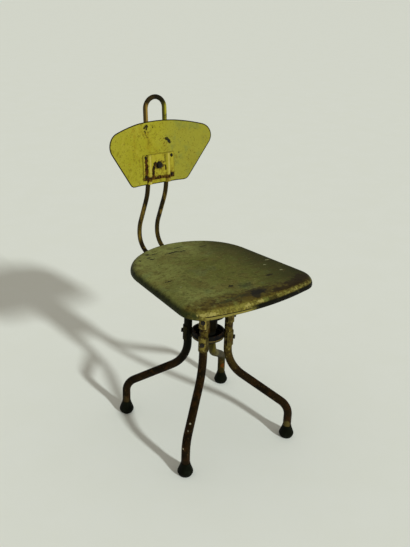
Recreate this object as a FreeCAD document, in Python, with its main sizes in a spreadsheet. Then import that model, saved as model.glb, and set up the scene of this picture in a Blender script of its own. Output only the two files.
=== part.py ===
import FreeCAD, Part
import math
import os
import Sketcher
from types import SimpleNamespace

# An industrial chair: four bent tube legs on a two-dish hub, a screw spindle, a pressed steel
# seat and a back plate that slides on a bent rod hairpin.
# Millimetres and degrees. The chair faces -Y, its left side is +X and the floor is z = 0.
# The origin is the middle of the bounding box on the floor, so the swivel axis is moved by swivel_y.

DRIVING = {
    # legs and their rubber feet
    "leg_diameter": 21.3,
    "leg_wall": 1.6,
    "leg_azimuth": 40.3,
    "leg_splay_angle": 59.0,
    "leg_knee_radius": 85.0,
    "leg_ankle_radius": 45.0,
    "knee_below_saddle": 10.7,
    "ankle_above_foot": 32.0,
    "foot_sole": 6.0,
    "foot_height": 34.0,
    "foot_base_inset": 4.9,
    "foot_bulge_width": 9.45,
    "foot_bulge_height": 9.5,
    "foot_neck_width": 2.05,
    "foot_neck_drop": 4.5,
    "foot_lip": 1.1,
    "foot_sole_round": 1.5,
    "foot_bulge_round": 9.0,
    "foot_neck_round": 6.0,
    # hub between the legs
    "dish_radius": 42.2,
    "dish_sheet": 2.5,
    "dish_bend": 5.0,
    "dish_bead": 4.4,
    "dish_bead_height": 1.7,
    "lower_floor_gap": 1.23,
    "upper_floor_gap": 2.13,
    "lower_rim_gap": 3.0,
    "upper_rim_gap": 0.15,
    "sleeve_wall": 4.0,
    "sleeve_drop": 2.0,
    "collar_wall": 3.0,
    "collar_length": 53.5,
    "nut_wall": 3.92,
    "nut_drop": 28.0,
    "nut_flange_height": 4.0,
    # saddles and bolts that hold the legs
    "saddle_sheet": 2.5,
    "saddle_height": 39.0,
    "lower_saddle_drop": 22.5,
    "upper_saddle_drop": 19.6,
    "lower_bolt_height": 273.5,
    "bolt_spacing": 62.1,
    "bolt_diameter": 6.0,
    "bolt_clearance": 0.2,
    "bolt_head_flats": 11.0,
    "bolt_head_height": 4.0,
    "leg_nut_flats": 10.0,
    "leg_nut_height": 5.0,
    "leg_nut_gap": 0.05,
    "bolt_tip": 2.0,
    # spindle and its height travel
    "spindle_diameter": 24.0,
    "running_fit": 0.08,
    "thread_pitch": 6.0,
    "thread_depth": 1.8,
    "thread_gap": 3.0,
    "thread_crest": 2.0,
    "screw_showing": 50.7,
    "journal_step": 2.0,
    "stop_ring_gap": 0.8,
    "stop_ring_height": 7.0,
    "stop_ring_offset": 2.0,
    "washer_inset": 1.0,
    "washer_thickness": 2.0,
    "body_gap": 0.4,
    "edge_round": 1.0,
    # pressed steel seat
    "seat_sheet": 1.5,
    "seat_edge_depth": 22.0,
    "seat_edge_flat": 3.0,
    "seat_front_reach": 209.9,
    "seat_front_slope": 9.5,
    "seat_front_sweep": 690.0,
    "seat_front_corner_x": 195.7,
    "seat_front_corner_round": 56.0,
    "seat_rear_slope": 29.5,
    "seat_rear_corner_x": 164.5,
    "seat_rear_corner_y": 141.83,
    "seat_rear_corner_round": 144.0,
    "seat_sweep_gap": 3.0,
    # carrier under the seat
    "rail_spacing": 124.0,
    "rail_width": 30.0,
    "rail_sheet": 2.0,
    "rail_below_edge": 0.8,
    "rail_front_gap": 59.9,
    "rail_rear_gap": 40.7,
    "carrier_thickness": 4.0,
    "carrier_overhang": 7.0,
    "carrier_front_margin": 30.0,
    "carrier_rear_gap": 25.7,
    "carrier_corner": 12.0,
    "flange_radius": 45.0,
    "flange_thickness": 6.0,
    "flange_boss_wall": 7.92,
    "flange_boss_length": 15.9,
    "flange_boss_round": 4.0,
    "journal_roof": 2.0,
    "flange_bolt_inset": 11.0,
    "flange_bolt_diameter": 8.0,
    "flange_bolt_flats": 13.0,
    "flange_bolt_head": 5.0,
    "flange_nut_height": 6.5,
    # rod hairpin that carries the back
    "rod_diameter": 12.0,
    "rod_spacing": 57.0,
    "rod_lean": 4.0,
    "loop_above_clamp": 145.5,
    "rod_front_gap": 35.0,
    "rod_bend_gap": 25.7,
    "rod_rise_radius": 46.8,
    "rod_belly_radius": 81.3,
    "rod_belly_tilt": 5.0,
    "rod_kick_angle": 22.0,
    "rod_kick_run": 67.7,
    "rod_back_radius": 142.3,
    "rod_gap": 0.5,
    "stop_bar_thickness": 5.0,
    "stop_bar_overhang": 2.0,
    "stop_bar_round": 2.0,
    # stamped plates that hold the two rods
    "plate_sheet": 2.0,
    "channel_gap": 0.3,
    "plate_margin": 19.4,
    "plate_height": 66.0,
    "ridge_radius": 8.0,
    "ridge_tongue": 11.0,
    "clamp_length": 60.0,
    "clamp_gap": 35.0,
    # back panel
    "clamp_above_bend": 31.234,
    "panel_sheet": 2.0,
    "panel_gap": 0.3,
    "panel_flat_margin": 0.06,
    "panel_bend_round": 80.0,
    "panel_wing_angle": 13.6,
    "panel_blank_inset": 12.5,
    "panel_top_slope": 15.5,
    "panel_sweep_gap": 2.0,
    "panel_shoulder_x": 174.5,
    "panel_shoulder_z": 86.6,
    "panel_shoulder_round": 33.0,
    "panel_corner_x": 85.2,
    "panel_corner_z": 44.9,
    "panel_corner_round": 18.0,
    # fasteners of the back
    "rivet_beside_rod": 11.1,
    "rivet_inset": 8.0,
    "rivet_diameter": 4.0,
    "rivet_head_radius": 3.6,
    "rivet_head_height": 1.8,
    "back_bolt_diameter": 8.0,
    "back_bolt_offset": 3.4,
    "back_bolt_flats": 13.0,
    "back_bolt_head": 6.0,
    "back_washer_radius": 9.0,
    "back_washer_thickness": 1.6,
    "wing_hub_radius": 8.0,
    "wing_hub_length": 10.0,
    "wing_span": 38.0,
    "wing_thickness": 3.0,
    "wing_offset": 9.0,
    "wing_length": 13.0,
    "wing_tip_round": 4.0,
    "wing_root_round": 2.0,
    "bolt_end": 6.0,
    # hand screw under the seat
    "hand_screw_diameter": 8.0,
    "hand_collar_radius": 9.0,
    "hand_collar_height": 8.0,
    "hand_collar_round": 1.5,
    "hand_wing_span": 46.0,
    "hand_wing_height": 14.0,
    "hand_wing_thickness": 5.0,
    "hand_wing_round": 4.0,
    "hand_wing_sink": 1.0,
    "weld_nut_flats": 13.0,
    "weld_nut_height": 6.0,
}

LEG_SIDES = ("rear_left", "rear_right", "front_right", "front_left")
FLANGE_BOLTS = 4
QUARTER_TURN = 90.0
FULL_TURN = 360.0
HALF_TURN = 180.0
SAME_PLACE = 1e-6
Vector = FreeCAD.Vector

doc = FreeCAD.newDocument("IndustrialChair")


class Size:
    """A length or an angle: its number and the sheet formula that gives it."""

    def __init__(self, number, formula):
        self.number = float(number)
        self.formula = formula

    def __add__(self, other):
        other = as_size(other)
        return Size(self.number + other.number, f"({self.formula} + {other.formula})")

    def __sub__(self, other):
        other = as_size(other)
        return Size(self.number - other.number, f"({self.formula} - {other.formula})")

    def __mul__(self, other):
        other = as_size(other)
        return Size(self.number * other.number, f"({self.formula} * {other.formula})")

    def __truediv__(self, other):
        other = as_size(other)
        return Size(self.number / other.number, f"({self.formula} / {other.formula})")

    def __neg__(self):
        return as_size(0) - self


def as_size(value):
    """A plain number counts as a size with itself for a formula."""
    return value if isinstance(value, Size) else Size(value, str(float(value)))


def sine(angle):
    return Size(math.sin(math.radians(angle.number)), f"sin({angle.formula})")


def cosine(angle):
    return Size(math.cos(math.radians(angle.number)), f"cos({angle.formula})")


def tangent(angle):
    return Size(math.tan(math.radians(angle.number)), f"tan({angle.formula})")


def arctangent(ratio):
    return Size(math.degrees(math.atan(ratio.number)), f"(atan({ratio.formula}) / 1deg)")


def make_sheet(sizes):
    """Put the driving sizes in a sheet and give each one a name that formulas use."""
    sheet = doc.addObject("Spreadsheet::Sheet", "Sizes")
    named = {}
    for row, (alias, value) in enumerate(sizes.items(), start=1):
        sheet.set(f"A{row}", str(value))
        sheet.setAlias(f"A{row}", alias)
        named[alias] = Size(value, f"Sizes.{alias}")
    doc.recompute()
    return SimpleNamespace(**named)


def bind(thing, path, value):
    """Bind a property or a constraint to the sheet."""
    thing.setExpression(path, as_size(value).formula)


# Bodies, sketches and features

nodes = []
corners_of = {}


def new_body(label):
    body = doc.addObject("PartDesign::Body", label)
    body.Label = label
    nodes.append(body)
    return body


def origin_feature(body, role):
    return next(item for item in body.Origin.OriginFeatures if item.Role == role)


def sketch_on(body, role, offset=0.0):
    """An empty sketch on one of the body's own planes, moved along its normal by offset."""
    sketch = body.newObject("Sketcher::SketchObject", body.Name + "_sketch")
    sketch.AttachmentSupport = [(origin_feature(body, role), "")]
    sketch.MapMode = "FlatFace"
    bind(sketch, "AttachmentOffset.Base.z", offset)
    return sketch


def pin_point(sketch, geometry, point, x, y):
    """Fix a point of the sketch at x, y from the sketch's origin."""
    for kind, value in (("DistanceX", x), ("DistanceY", y)):
        value = as_size(value)
        rule = sketch.addConstraint(Sketcher.Constraint(kind, -1, 1, geometry, point, value.number))
        sketch.setExpression(f"Constraints[{rule}]", value.formula)


def circle(sketch, x, y, radius):
    x, y, radius = as_size(x), as_size(y), as_size(radius)
    ring = Part.Circle(Vector(x.number, y.number, 0), Vector(0, 0, 1), radius.number)
    geometry = sketch.addGeometry(ring)
    pin_point(sketch, geometry, 3, x, y)
    rule = sketch.addConstraint(Sketcher.Constraint("Radius", geometry, radius.number))
    sketch.setExpression(f"Constraints[{rule}]", radius.formula)


def outline(sketch, corners):
    """Draw a closed outline. Each corner is x, y and the radius that its edge gets later."""
    corners = [tuple(as_size(value) for value in corner) for corner in corners]
    points = [Vector(x.number, y.number, 0) for x, y, _ in corners]
    lines = []
    for start, end in zip(points, points[1:] + points[:1]):
        lines.append(sketch.addGeometry(Part.LineSegment(start, end)))
    for before, line in zip(lines[-1:] + lines[:-1], lines):
        sketch.addConstraint(Sketcher.Constraint("Coincident", before, 2, line, 1))
    for line, (x, y, _) in zip(lines, corners):
        pin_point(sketch, line, 1, x, y)
    corners_of[sketch.Name] = corners


def move_along(x, y, heading, move):
    """Where a run or a bend to the left ends, and the heading there."""
    size, turn_left = move
    if turn_left is None:
        return x + size * cosine(heading), y + size * sine(heading), heading
    side = 1.0 if turn_left.number > 0 else -1.0
    ahead = heading + turn_left
    return (x + size * side * (sine(ahead) - sine(heading)),
            y + size * side * (cosine(heading) - cosine(ahead)), ahead)


def travel(x, y, heading, moves):
    """The point where a chain of runs and bends ends."""
    for move in moves:
        x, y, heading = move_along(x, y, heading, move)
    return x, y


def bent_path(sketch, x, y, heading, moves):
    """Draw runs and tangent bends from x, y. A move is a length, or a radius with its turn to the left."""
    here = (as_size(x), as_size(y), as_size(heading))
    joint = None
    for size, turn_left in moves:
        ahead = move_along(*here, (size, turn_left))
        start = Vector(here[0].number, here[1].number, 0)
        end = Vector(ahead[0].number, ahead[1].number, 0)
        first, last = 1, 2
        if turn_left is None:
            geometry = sketch.addGeometry(Part.LineSegment(start, end))
        else:
            halfway = move_along(*here, (size, turn_left / 2))
            middle = Vector(halfway[0].number, halfway[1].number, 0)
            geometry = sketch.addGeometry(Part.Arc(start, middle, end))
            rule = sketch.addConstraint(Sketcher.Constraint("Radius", geometry, size.number))
            sketch.setExpression(f"Constraints[{rule}]", size.formula)
            if turn_left.number < 0:
                first, last = 2, 1
        if joint is None:
            pin_point(sketch, geometry, first, here[0], here[1])
        else:
            sketch.addConstraint(Sketcher.Constraint("Coincident", *joint, geometry, first))
        pin_point(sketch, geometry, last, ahead[0], ahead[1])
        joint = (geometry, last)
        here = ahead


def swept_edges(feature, sketch, corners):
    """Names of the edges that the sketch's corners draw when the feature sweeps them."""
    frame = sketch.Placement
    names = []
    for number, edge in enumerate(feature.Shape.Edges, start=1):
        third = edge.FirstParameter + (edge.LastParameter - edge.FirstParameter) / 3
        leaves_sketch = abs(frame.inverse().multVec(edge.valueAt(third)).z) > SAME_PLACE
        for x, y in corners:
            corner = Part.Vertex(frame.multVec(Vector(x.number, y.number, 0)))
            if leaves_sketch and edge.distToShape(corner)[0] < SAME_PLACE:
                names.append(f"Edge{number}")
    return names


def round_corners(body, feature, sketch):
    """Round the edges that the outline's corners sweep, one fillet for each radius."""
    by_radius = {}
    for x, y, radius in corners_of.get(sketch.Name, []):
        if radius.number:
            by_radius.setdefault(radius.formula, (radius, []))[1].append((x, y))
    for radius, corners in by_radius.values():
        doc.recompute()
        rounded = body.newObject("PartDesign::Fillet", body.Name + "_round")
        rounded.Base = (feature, swept_edges(feature, sketch, corners))
        bind(rounded, "Radius", radius)
        feature = rounded
    return feature


def rectangle(sketch, x_low, y_low, x_high, y_high, radius=0.0):
    outline(sketch, [(x_low, y_low, radius), (x_high, y_low, radius),
                     (x_high, y_high, radius), (x_low, y_high, radius)])


def hexagon_corner(flats):
    """From the middle of a hexagon to its corner."""
    return flats / 2 / cosine(as_size(HALF_TURN) / 6)


def hexagon(sketch, x, y, flats):
    """A hexagon with two corners on the sketch's y direction."""
    half_flat = flats / 2
    corner = hexagon_corner(flats)
    rise = corner / 2
    outline(sketch, [(x + half_flat, y - rise, 0), (x + half_flat, y + rise, 0), (x, y + corner, 0),
                     (x - half_flat, y + rise, 0), (x - half_flat, y - rise, 0), (x, y - corner, 0)])


def pad(body, sketch, length, symmetric=False, reverse=False):
    feature = body.newObject("PartDesign::Pad", body.Name + "_pad")
    feature.Profile = sketch
    feature.SideType = "Symmetric" if symmetric else "One side"
    feature.Reversed = reverse
    bind(feature, "Length", length)
    return round_corners(body, feature, sketch)


def cut_through(body, sketch):
    """Cut the sketch through the whole body, both ways."""
    feature = body.newObject("PartDesign::Pocket", body.Name + "_cut")
    feature.Profile = sketch
    feature.SideType = "Symmetric"
    feature.Type = "ThroughAll"
    return feature


def cut_depth(body, sketch, depth, reverse=False):
    feature = body.newObject("PartDesign::Pocket", body.Name + "_cut")
    feature.Profile = sketch
    feature.Reversed = reverse
    bind(feature, "Length", depth)
    return feature


def turn(body, sketch, angle=FULL_TURN, reverse=False):
    """Turn the sketch about its own vertical axis."""
    feature = body.newObject("PartDesign::Revolution", body.Name + "_turned")
    feature.Profile = sketch
    feature.ReferenceAxis = (sketch, ["V_Axis"])
    feature.Angle = angle
    feature.Reversed = reverse
    return round_corners(body, feature, sketch)


def sweep(body, section, path):
    feature = body.newObject("PartDesign::AdditivePipe", body.Name + "_swept")
    feature.Profile = section
    feature.Spine = path
    return feature


def pattern_around(body, originals, count):
    feature = body.newObject("PartDesign::PolarPattern", body.Name + "_pattern")
    feature.Originals = originals
    feature.Axis = (origin_feature(body, "Z_Axis"), [""])
    feature.Angle = FULL_TURN
    feature.Occurrences = count
    body.Tip = feature
    return feature


def mirror(body, originals, role):
    feature = body.newObject("PartDesign::Mirrored", body.Name + "_mirror")
    feature.Originals = originals
    feature.MirrorPlane = (origin_feature(body, role), [""])
    body.Tip = feature
    return feature


def fitted_sweep(half_width, slope, corner_round, lean, gap):
    """Radius of the arc between two corners whose edges rise to an apex at the slope.

    The arc fills both edges up to the corners' roundings, less the gap. The sides lean inwards.
    """
    corner_turn = as_size(QUARTER_TURN) - slope + lean
    run = half_width / cosine(slope) - corner_round * tangent(corner_turn / 2) - gap
    return run / tangent(slope)


def arc_rise(radius, slope):
    """How far an apex stands out past the arc that rounds it."""
    return radius * (as_size(1) / cosine(slope) - 1)


def turned_body(label, corners):
    """A body turned about its Z axis; corners are radius, height and rounding."""
    body = new_body(label)
    profile = sketch_on(body, "XZ_Plane")
    outline(profile, corners)
    turn(body, profile)
    return body


def place(body, x=0.0, y=0.0, z=0.0, axis=(0, 0, 1), angle=0.0):
    """Put a body at x, y, z from the swivel axis and turn it about the given axis."""
    angle = as_size(angle)
    body.Placement = FreeCAD.Placement(Vector(0, 0, 0), FreeCAD.Rotation(Vector(*axis), angle.number))
    bind(body, "Placement.Base.x", x)
    bind(body, "Placement.Base.y", swivel_y + y)
    bind(body, "Placement.Base.z", z)
    if angle.number:
        bind(body, "Placement.Rotation.Angle", angle)


d = make_sheet(DRIVING)

# Sizes that several pieces share: the legs and the hub, from the lower bolts upwards
leg_radius = d.leg_diameter / 2
hub_circle = d.dish_radius + leg_radius
nut_corner = hexagon_corner(d.leg_nut_flats)
upper_bolt_height = d.lower_bolt_height + d.bolt_spacing
lower_saddle_base = d.lower_bolt_height - d.lower_saddle_drop
upper_saddle_base = upper_bolt_height - d.upper_saddle_drop
leg_top = upper_saddle_base + d.saddle_height
knee_height = lower_saddle_base - d.knee_below_saddle
bends_out = (d.leg_knee_radius + d.leg_ankle_radius) * (as_size(1) - cosine(d.leg_splay_angle))
bends_drop = (d.leg_knee_radius + d.leg_ankle_radius) * sine(d.leg_splay_angle)
ankle_run = d.foot_height - d.foot_sole + d.ankle_above_foot
slope_run = (knee_height - bends_drop - ankle_run - d.foot_sole) / cosine(d.leg_splay_angle)
foot_circle = hub_circle + bends_out + slope_run * sine(d.leg_splay_angle)
lower_dish_base = d.lower_bolt_height - nut_corner - d.lower_floor_gap - d.dish_sheet
lower_dish_rim = d.lower_bolt_height + nut_corner + d.lower_rim_gap + d.dish_bead_height
upper_dish_top = upper_bolt_height + nut_corner + d.upper_floor_gap + d.dish_sheet
upper_dish_rim = upper_bolt_height - nut_corner - d.upper_rim_gap - d.dish_bead_height

# The spindle, and the seat's parts on top of it
spindle_radius = d.spindle_diameter / 2
journal_radius = spindle_radius - d.journal_step
sleeve_bore = spindle_radius + d.running_fit + d.nut_wall
sleeve_radius = sleeve_bore + d.sleeve_wall
sleeve_base = lower_dish_base - d.sleeve_drop
sleeve_top = upper_dish_top + d.sleeve_drop
nut_top = sleeve_top + d.nut_flange_height
shoulder_height = nut_top + d.screw_showing
boss_base = shoulder_height + d.washer_thickness + d.body_gap
flange_base = boss_base + d.flange_boss_length
carrier_base = flange_base + d.flange_thickness
carrier_top = carrier_base + d.carrier_thickness
seat_underside = carrier_top + d.seat_edge_depth + d.rail_below_edge
seat_top = seat_underside + d.seat_sheet
boss_radius = journal_radius + d.running_fit + d.flange_boss_wall
flange_bolt_circle = d.flange_radius - d.flange_bolt_inset

# The seat's outline
seat_front_apex = d.seat_front_reach + arc_rise(d.seat_front_sweep, d.seat_front_slope)
seat_front_corner_y = d.seat_front_corner_x * tangent(d.seat_front_slope) - seat_front_apex
seat_flare = arctangent((d.seat_front_corner_x - d.seat_rear_corner_x)
                        / (d.seat_rear_corner_y - seat_front_corner_y))
seat_rear_sweep = fitted_sweep(
    d.seat_rear_corner_x, d.seat_rear_slope, d.seat_rear_corner_round, -seat_flare, d.seat_sweep_gap)
seat_rear_apex = d.seat_rear_corner_y + d.seat_rear_corner_x * tangent(d.seat_rear_slope)
seat_rear = seat_rear_apex - arc_rise(seat_rear_sweep, d.seat_rear_slope)
carrier_rear = seat_rear - d.carrier_rear_gap
clamp_middle = carrier_rear - d.clamp_gap

# The rods that carry the back, and the clamp on them
rod_radius = d.rod_diameter / 2
rod_x = d.rod_spacing / 2
rod_height = carrier_base - d.rod_gap - rod_radius
rod_front = d.flange_radius + d.rod_front_gap
rod_bend_y = seat_rear + d.rod_bend_gap
rod_moves = [
    (rod_bend_y - rod_front, None),
    (d.rod_rise_radius, as_size(QUARTER_TURN) - d.rod_belly_tilt),
    (d.rod_belly_radius, d.rod_belly_tilt + d.rod_kick_angle),
    (d.rod_kick_run, None),
    (d.rod_back_radius, -(d.rod_kick_angle + d.rod_lean))]
straight_y, straight_z = travel(rod_front, rod_height, as_size(0), rod_moves)
clamp_height = straight_z + d.clamp_above_bend
loop_height = clamp_height + d.loop_above_clamp
rod_top_y = straight_y + (loop_height - straight_z) * tangent(d.rod_lean)
clamp_y = straight_y + (clamp_height - straight_z) * tangent(d.rod_lean)
rod_belly = (rod_bend_y + d.rod_rise_radius * cosine(d.rod_belly_tilt)
             + d.rod_belly_radius * (as_size(1) - cosine(d.rod_belly_tilt)) + rod_radius)
swivel_y = (d.seat_front_reach - rod_belly) / 2
plate_half_width = rod_x + d.plate_margin
rivet_x = rod_x + d.rivet_beside_rod
rivet_z = d.plate_height / 2 - d.rivet_inset
rivet_places = [(rivet_x, rivet_z), (-rivet_x, rivet_z), (-rivet_x, -rivet_z), (rivet_x, -rivet_z)]
panel_rear = -(rod_radius + d.panel_gap)
panel_front = panel_rear - d.panel_sheet
rear_plate_free = d.plate_sheet + d.body_gap


def leg(side, azimuth):
    """A bent tube leg: down beside the hub, out to the foot circle and down to the floor."""
    body = new_body("leg_" + side)
    path = sketch_on(body, "XZ_Plane")
    bent_path(path, hub_circle, leg_top, -as_size(QUARTER_TURN), [
        (leg_top - knee_height, None), (d.leg_knee_radius, d.leg_splay_angle), (slope_run, None),
        (d.leg_ankle_radius, -d.leg_splay_angle), (ankle_run, None)])
    section = sketch_on(body, "XY_Plane", leg_top)
    circle(section, hub_circle, 0, leg_radius)
    circle(section, hub_circle, 0, leg_radius - d.leg_wall)
    sweep(body, section, path)
    holes = sketch_on(body, "YZ_Plane")
    for height in (d.lower_bolt_height, upper_bolt_height):
        circle(holes, 0, height, d.bolt_diameter / 2 + d.bolt_clearance)
    cut_through(body, holes)
    place(body, angle=azimuth)


def foot(side, azimuth):
    """A bell shaped rubber foot with a blind bore for the end of the leg."""
    bulge = leg_radius + d.foot_bulge_width
    neck = leg_radius + d.foot_neck_width
    body = turned_body("foot_" + side, [
        (0, 0, 0), (bulge - d.foot_base_inset, 0, d.foot_sole_round),
        (bulge, d.foot_bulge_height, d.foot_bulge_round),
        (neck, d.foot_height - d.foot_neck_drop, d.foot_neck_round),
        (leg_radius + d.foot_lip, d.foot_height, 0), (leg_radius, d.foot_height, 0),
        (leg_radius, d.foot_sole, 0), (0, d.foot_sole, 0)])
    place(body, x=foot_circle * cosine(azimuth), y=foot_circle * sine(azimuth))


def saddle(side, azimuth, level, base, bolt_height):
    """A half round pressed cap over the outer half of the leg, held by one bolt."""
    body = new_body(f"saddle_{level}_{side}")
    ring = sketch_on(body, "XY_Plane", base)
    circle(ring, hub_circle, 0, leg_radius)
    circle(ring, hub_circle, 0, leg_radius + d.saddle_sheet)
    pad(body, ring, d.saddle_height)
    inner_half = sketch_on(body, "XY_Plane")
    reach = leg_radius + d.saddle_sheet
    rectangle(inner_half, hub_circle - reach * 2, -(reach * 2), hub_circle, reach * 2)
    cut_through(body, inner_half)
    hole = sketch_on(body, "YZ_Plane")
    circle(hole, 0, bolt_height, d.bolt_diameter / 2 + d.bolt_clearance)
    cut_through(body, hole)
    place(body, angle=azimuth)


def leg_bolts(level, height):
    """Four bolts through saddle, leg and dish wall, heads outside, and the nuts inside the dish.

    The round wall curves away from a nut's flat face by its corner squared over the wall's diameter.
    """
    head_seat = hub_circle + leg_radius + d.saddle_sheet
    tip = d.dish_radius - d.dish_sheet - d.leg_nut_height - d.bolt_tip
    bolts = new_body("leg_bolts_" + level)
    head = sketch_on(bolts, "YZ_Plane", head_seat)
    hexagon(head, as_size(0), height, d.bolt_head_flats)
    head_pad = pad(bolts, head, d.bolt_head_height)
    shank = sketch_on(bolts, "YZ_Plane", tip)
    circle(shank, 0, height, d.bolt_diameter / 2)
    shank_pad = pad(bolts, shank, head_seat - tip)
    pattern_around(bolts, [head_pad, shank_pad], len(LEG_SIDES))
    place(bolts, angle=d.leg_azimuth)
    nuts = new_body("leg_nuts_" + level)
    wall_inner = d.dish_radius - d.dish_sheet
    wall_curve = nut_corner * nut_corner / (wall_inner * 2)
    nut_seat = wall_inner - wall_curve - d.leg_nut_gap
    profile = sketch_on(nuts, "YZ_Plane", nut_seat - d.leg_nut_height)
    hexagon(profile, as_size(0), height, d.leg_nut_flats)
    circle(profile, 0, height, d.bolt_diameter / 2)
    nut_pad = pad(nuts, profile, d.leg_nut_height)
    pattern_around(nuts, [nut_pad], len(LEG_SIDES))
    place(nuts, angle=d.leg_azimuth)


def dish(label, floor, rim, up, bolt_height):
    """A pressed dish: a floor round the sleeve, a wall that the legs bear on and a rolled bead.

    The dish opens upwards where up is 1 and downwards where it is -1.
    """
    wall_inner = d.dish_radius - d.dish_sheet
    bead_inner = d.dish_radius - d.dish_bead
    inside = floor + d.dish_sheet * up
    bead_root = rim - d.dish_bead_height * up
    body = turned_body(label, [
        (sleeve_radius, floor, 0), (d.dish_radius, floor, d.dish_bend), (d.dish_radius, rim, 0),
        (bead_inner, rim, 0), (bead_inner, bead_root, 0), (wall_inner, bead_root, 0),
        (wall_inner, inside, d.dish_bend - d.dish_sheet), (sleeve_radius, inside, 0)])
    hole = sketch_on(body, "YZ_Plane", bead_inner)
    circle(hole, 0, bolt_height, d.bolt_diameter / 2 + d.bolt_clearance)
    cut = cut_depth(body, hole, d.dish_bead * 2, reverse=True)
    pattern_around(body, [cut], len(LEG_SIDES))
    place(body, angle=d.leg_azimuth)


def hub():
    """Two dishes, the sleeve through them, its collar and the spindle nut."""
    dish("hub_lower_dish", lower_dish_base, lower_dish_rim, 1, d.lower_bolt_height)
    dish("hub_upper_dish", upper_dish_top, upper_dish_rim, -1, upper_bolt_height)
    sleeve = turned_body("hub_sleeve", [
        (sleeve_bore, sleeve_base, 0), (sleeve_radius, sleeve_base, 0),
        (sleeve_radius, sleeve_top, 0), (sleeve_bore, sleeve_top, 0)])
    place(sleeve)
    collar_top = upper_dish_top - d.dish_sheet
    collar_base = collar_top - d.collar_length
    collar_radius = sleeve_radius + d.collar_wall
    collar = turned_body("hub_collar", [
        (sleeve_radius, collar_base, 0), (collar_radius, collar_base, d.edge_round),
        (collar_radius, collar_top, 0), (sleeve_radius, collar_top, 0)])
    place(collar)
    nut_bore = spindle_radius + d.running_fit
    nut_base = sleeve_top - d.nut_drop
    nut = turned_body("spindle_nut", [
        (nut_bore, nut_base, 0), (sleeve_bore, nut_base, 0), (sleeve_bore, sleeve_top, 0),
        (sleeve_radius, sleeve_top, 0), (sleeve_radius, nut_top, d.edge_round), (nut_bore, nut_top, 0)])
    place(nut)


def spindle():
    """The screw that carries the seat, with its stop ring and thrust washer."""
    journal_top = carrier_base - d.journal_roof - d.body_gap
    screw = turned_body("spindle_screw", [
        (0, sleeve_base, 0), (spindle_radius, sleeve_base, d.edge_round),
        (spindle_radius, shoulder_height, 0), (journal_radius, shoulder_height, 0),
        (journal_radius, journal_top, d.edge_round), (0, journal_top, 0)])
    ring_base = sleeve_base + d.stop_ring_offset
    ring_top = ring_base + d.stop_ring_height
    thread_start = ring_top + d.thread_gap
    groove_floor = d.thread_pitch - d.thread_crest - d.thread_depth
    root = spindle_radius - d.thread_depth
    past_crest = spindle_radius + d.thread_depth
    flank = d.thread_depth / 2
    groove_sketch = sketch_on(screw, "XZ_Plane")
    outline(groove_sketch, [
        (root, thread_start + flank, 0), (past_crest, thread_start - flank, 0),
        (past_crest, thread_start + groove_floor + flank * 3, 0),
        (root, thread_start + groove_floor + flank, 0)])
    groove = screw.newObject("PartDesign::Groove", "spindle_screw_groove")
    groove.Profile = groove_sketch
    groove.ReferenceAxis = (groove_sketch, ["V_Axis"])
    groove.Angle = FULL_TURN
    rings = screw.newObject("PartDesign::LinearPattern", "spindle_screw_thread")
    rings.Originals = [groove]
    rings.Direction = (origin_feature(screw, "Z_Axis"), [""])
    threaded = shoulder_height - thread_start - d.thread_pitch
    rings.Occurrences = int(threaded.number / d.thread_pitch.number)
    bind(rings, "Length", d.thread_pitch * (rings.Occurrences - 1))
    screw.Tip = rings
    place(screw)
    ring_radius = sleeve_bore - d.stop_ring_gap
    ring = turned_body("spindle_stop_ring", [
        (spindle_radius, ring_base, 0), (ring_radius, ring_base, 0), (ring_radius, ring_top, 0),
        (spindle_radius, ring_top, 0)])
    place(ring)
    washer_radius = boss_radius - d.washer_inset
    washer_top = shoulder_height + d.washer_thickness
    washer = turned_body("thrust_washer", [
        (journal_radius, shoulder_height, 0), (washer_radius, shoulder_height, 0),
        (washer_radius, washer_top, 0), (journal_radius, washer_top, 0)])
    place(washer)


def seat_pan():
    """The pressed sheet seat with its turned down, rounded edge, open underneath."""
    body = new_body("seat_pan")
    skirt_base = seat_top - d.seat_edge_depth
    shape = sketch_on(body, "XY_Plane", skirt_base)
    front_x, front_round = d.seat_front_corner_x, d.seat_front_corner_round
    rear_x, rear_round = d.seat_rear_corner_x, d.seat_rear_corner_round
    outline(shape, [
        (0, -seat_front_apex, d.seat_front_sweep), (front_x, seat_front_corner_y, front_round),
        (rear_x, d.seat_rear_corner_y, rear_round), (0, seat_rear_apex, seat_rear_sweep),
        (-rear_x, d.seat_rear_corner_y, rear_round), (-front_x, seat_front_corner_y, front_round)])
    block = pad(body, shape, d.seat_edge_depth)
    doc.recompute()
    top_edges = [f"Edge{number}" for number, edge in enumerate(block.Shape.Edges, start=1)
                 if abs(edge.BoundBox.ZMin - seat_top.number) < SAME_PLACE]
    rounded = body.newObject("PartDesign::Fillet", "seat_pan_round")
    rounded.Base = (block, top_edges)
    bind(rounded, "Radius", d.seat_edge_depth - d.seat_edge_flat)
    doc.recompute()
    open_faces = [f"Face{number}" for number, face in enumerate(rounded.Shape.Faces, start=1)
                  if abs(face.BoundBox.ZMax - skirt_base.number) < SAME_PLACE]
    shell = body.newObject("PartDesign::Thickness", "seat_pan_shell")
    shell.Base = (rounded, open_faces)
    bind(shell, "Value", d.seat_sheet)
    shell.Reversed = True
    place(body)


def flange_bolt_holes(body, level, depth):
    """The ring of bolt holes in the flange and in the carrier plate above it."""
    holes = sketch_on(body, "XY_Plane", level)
    circle(holes, flange_bolt_circle, 0, d.flange_bolt_diameter / 2 + d.bolt_clearance)
    cut = cut_depth(body, holes, depth, reverse=True)
    pattern_around(body, [cut], FLANGE_BOLTS)


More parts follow.
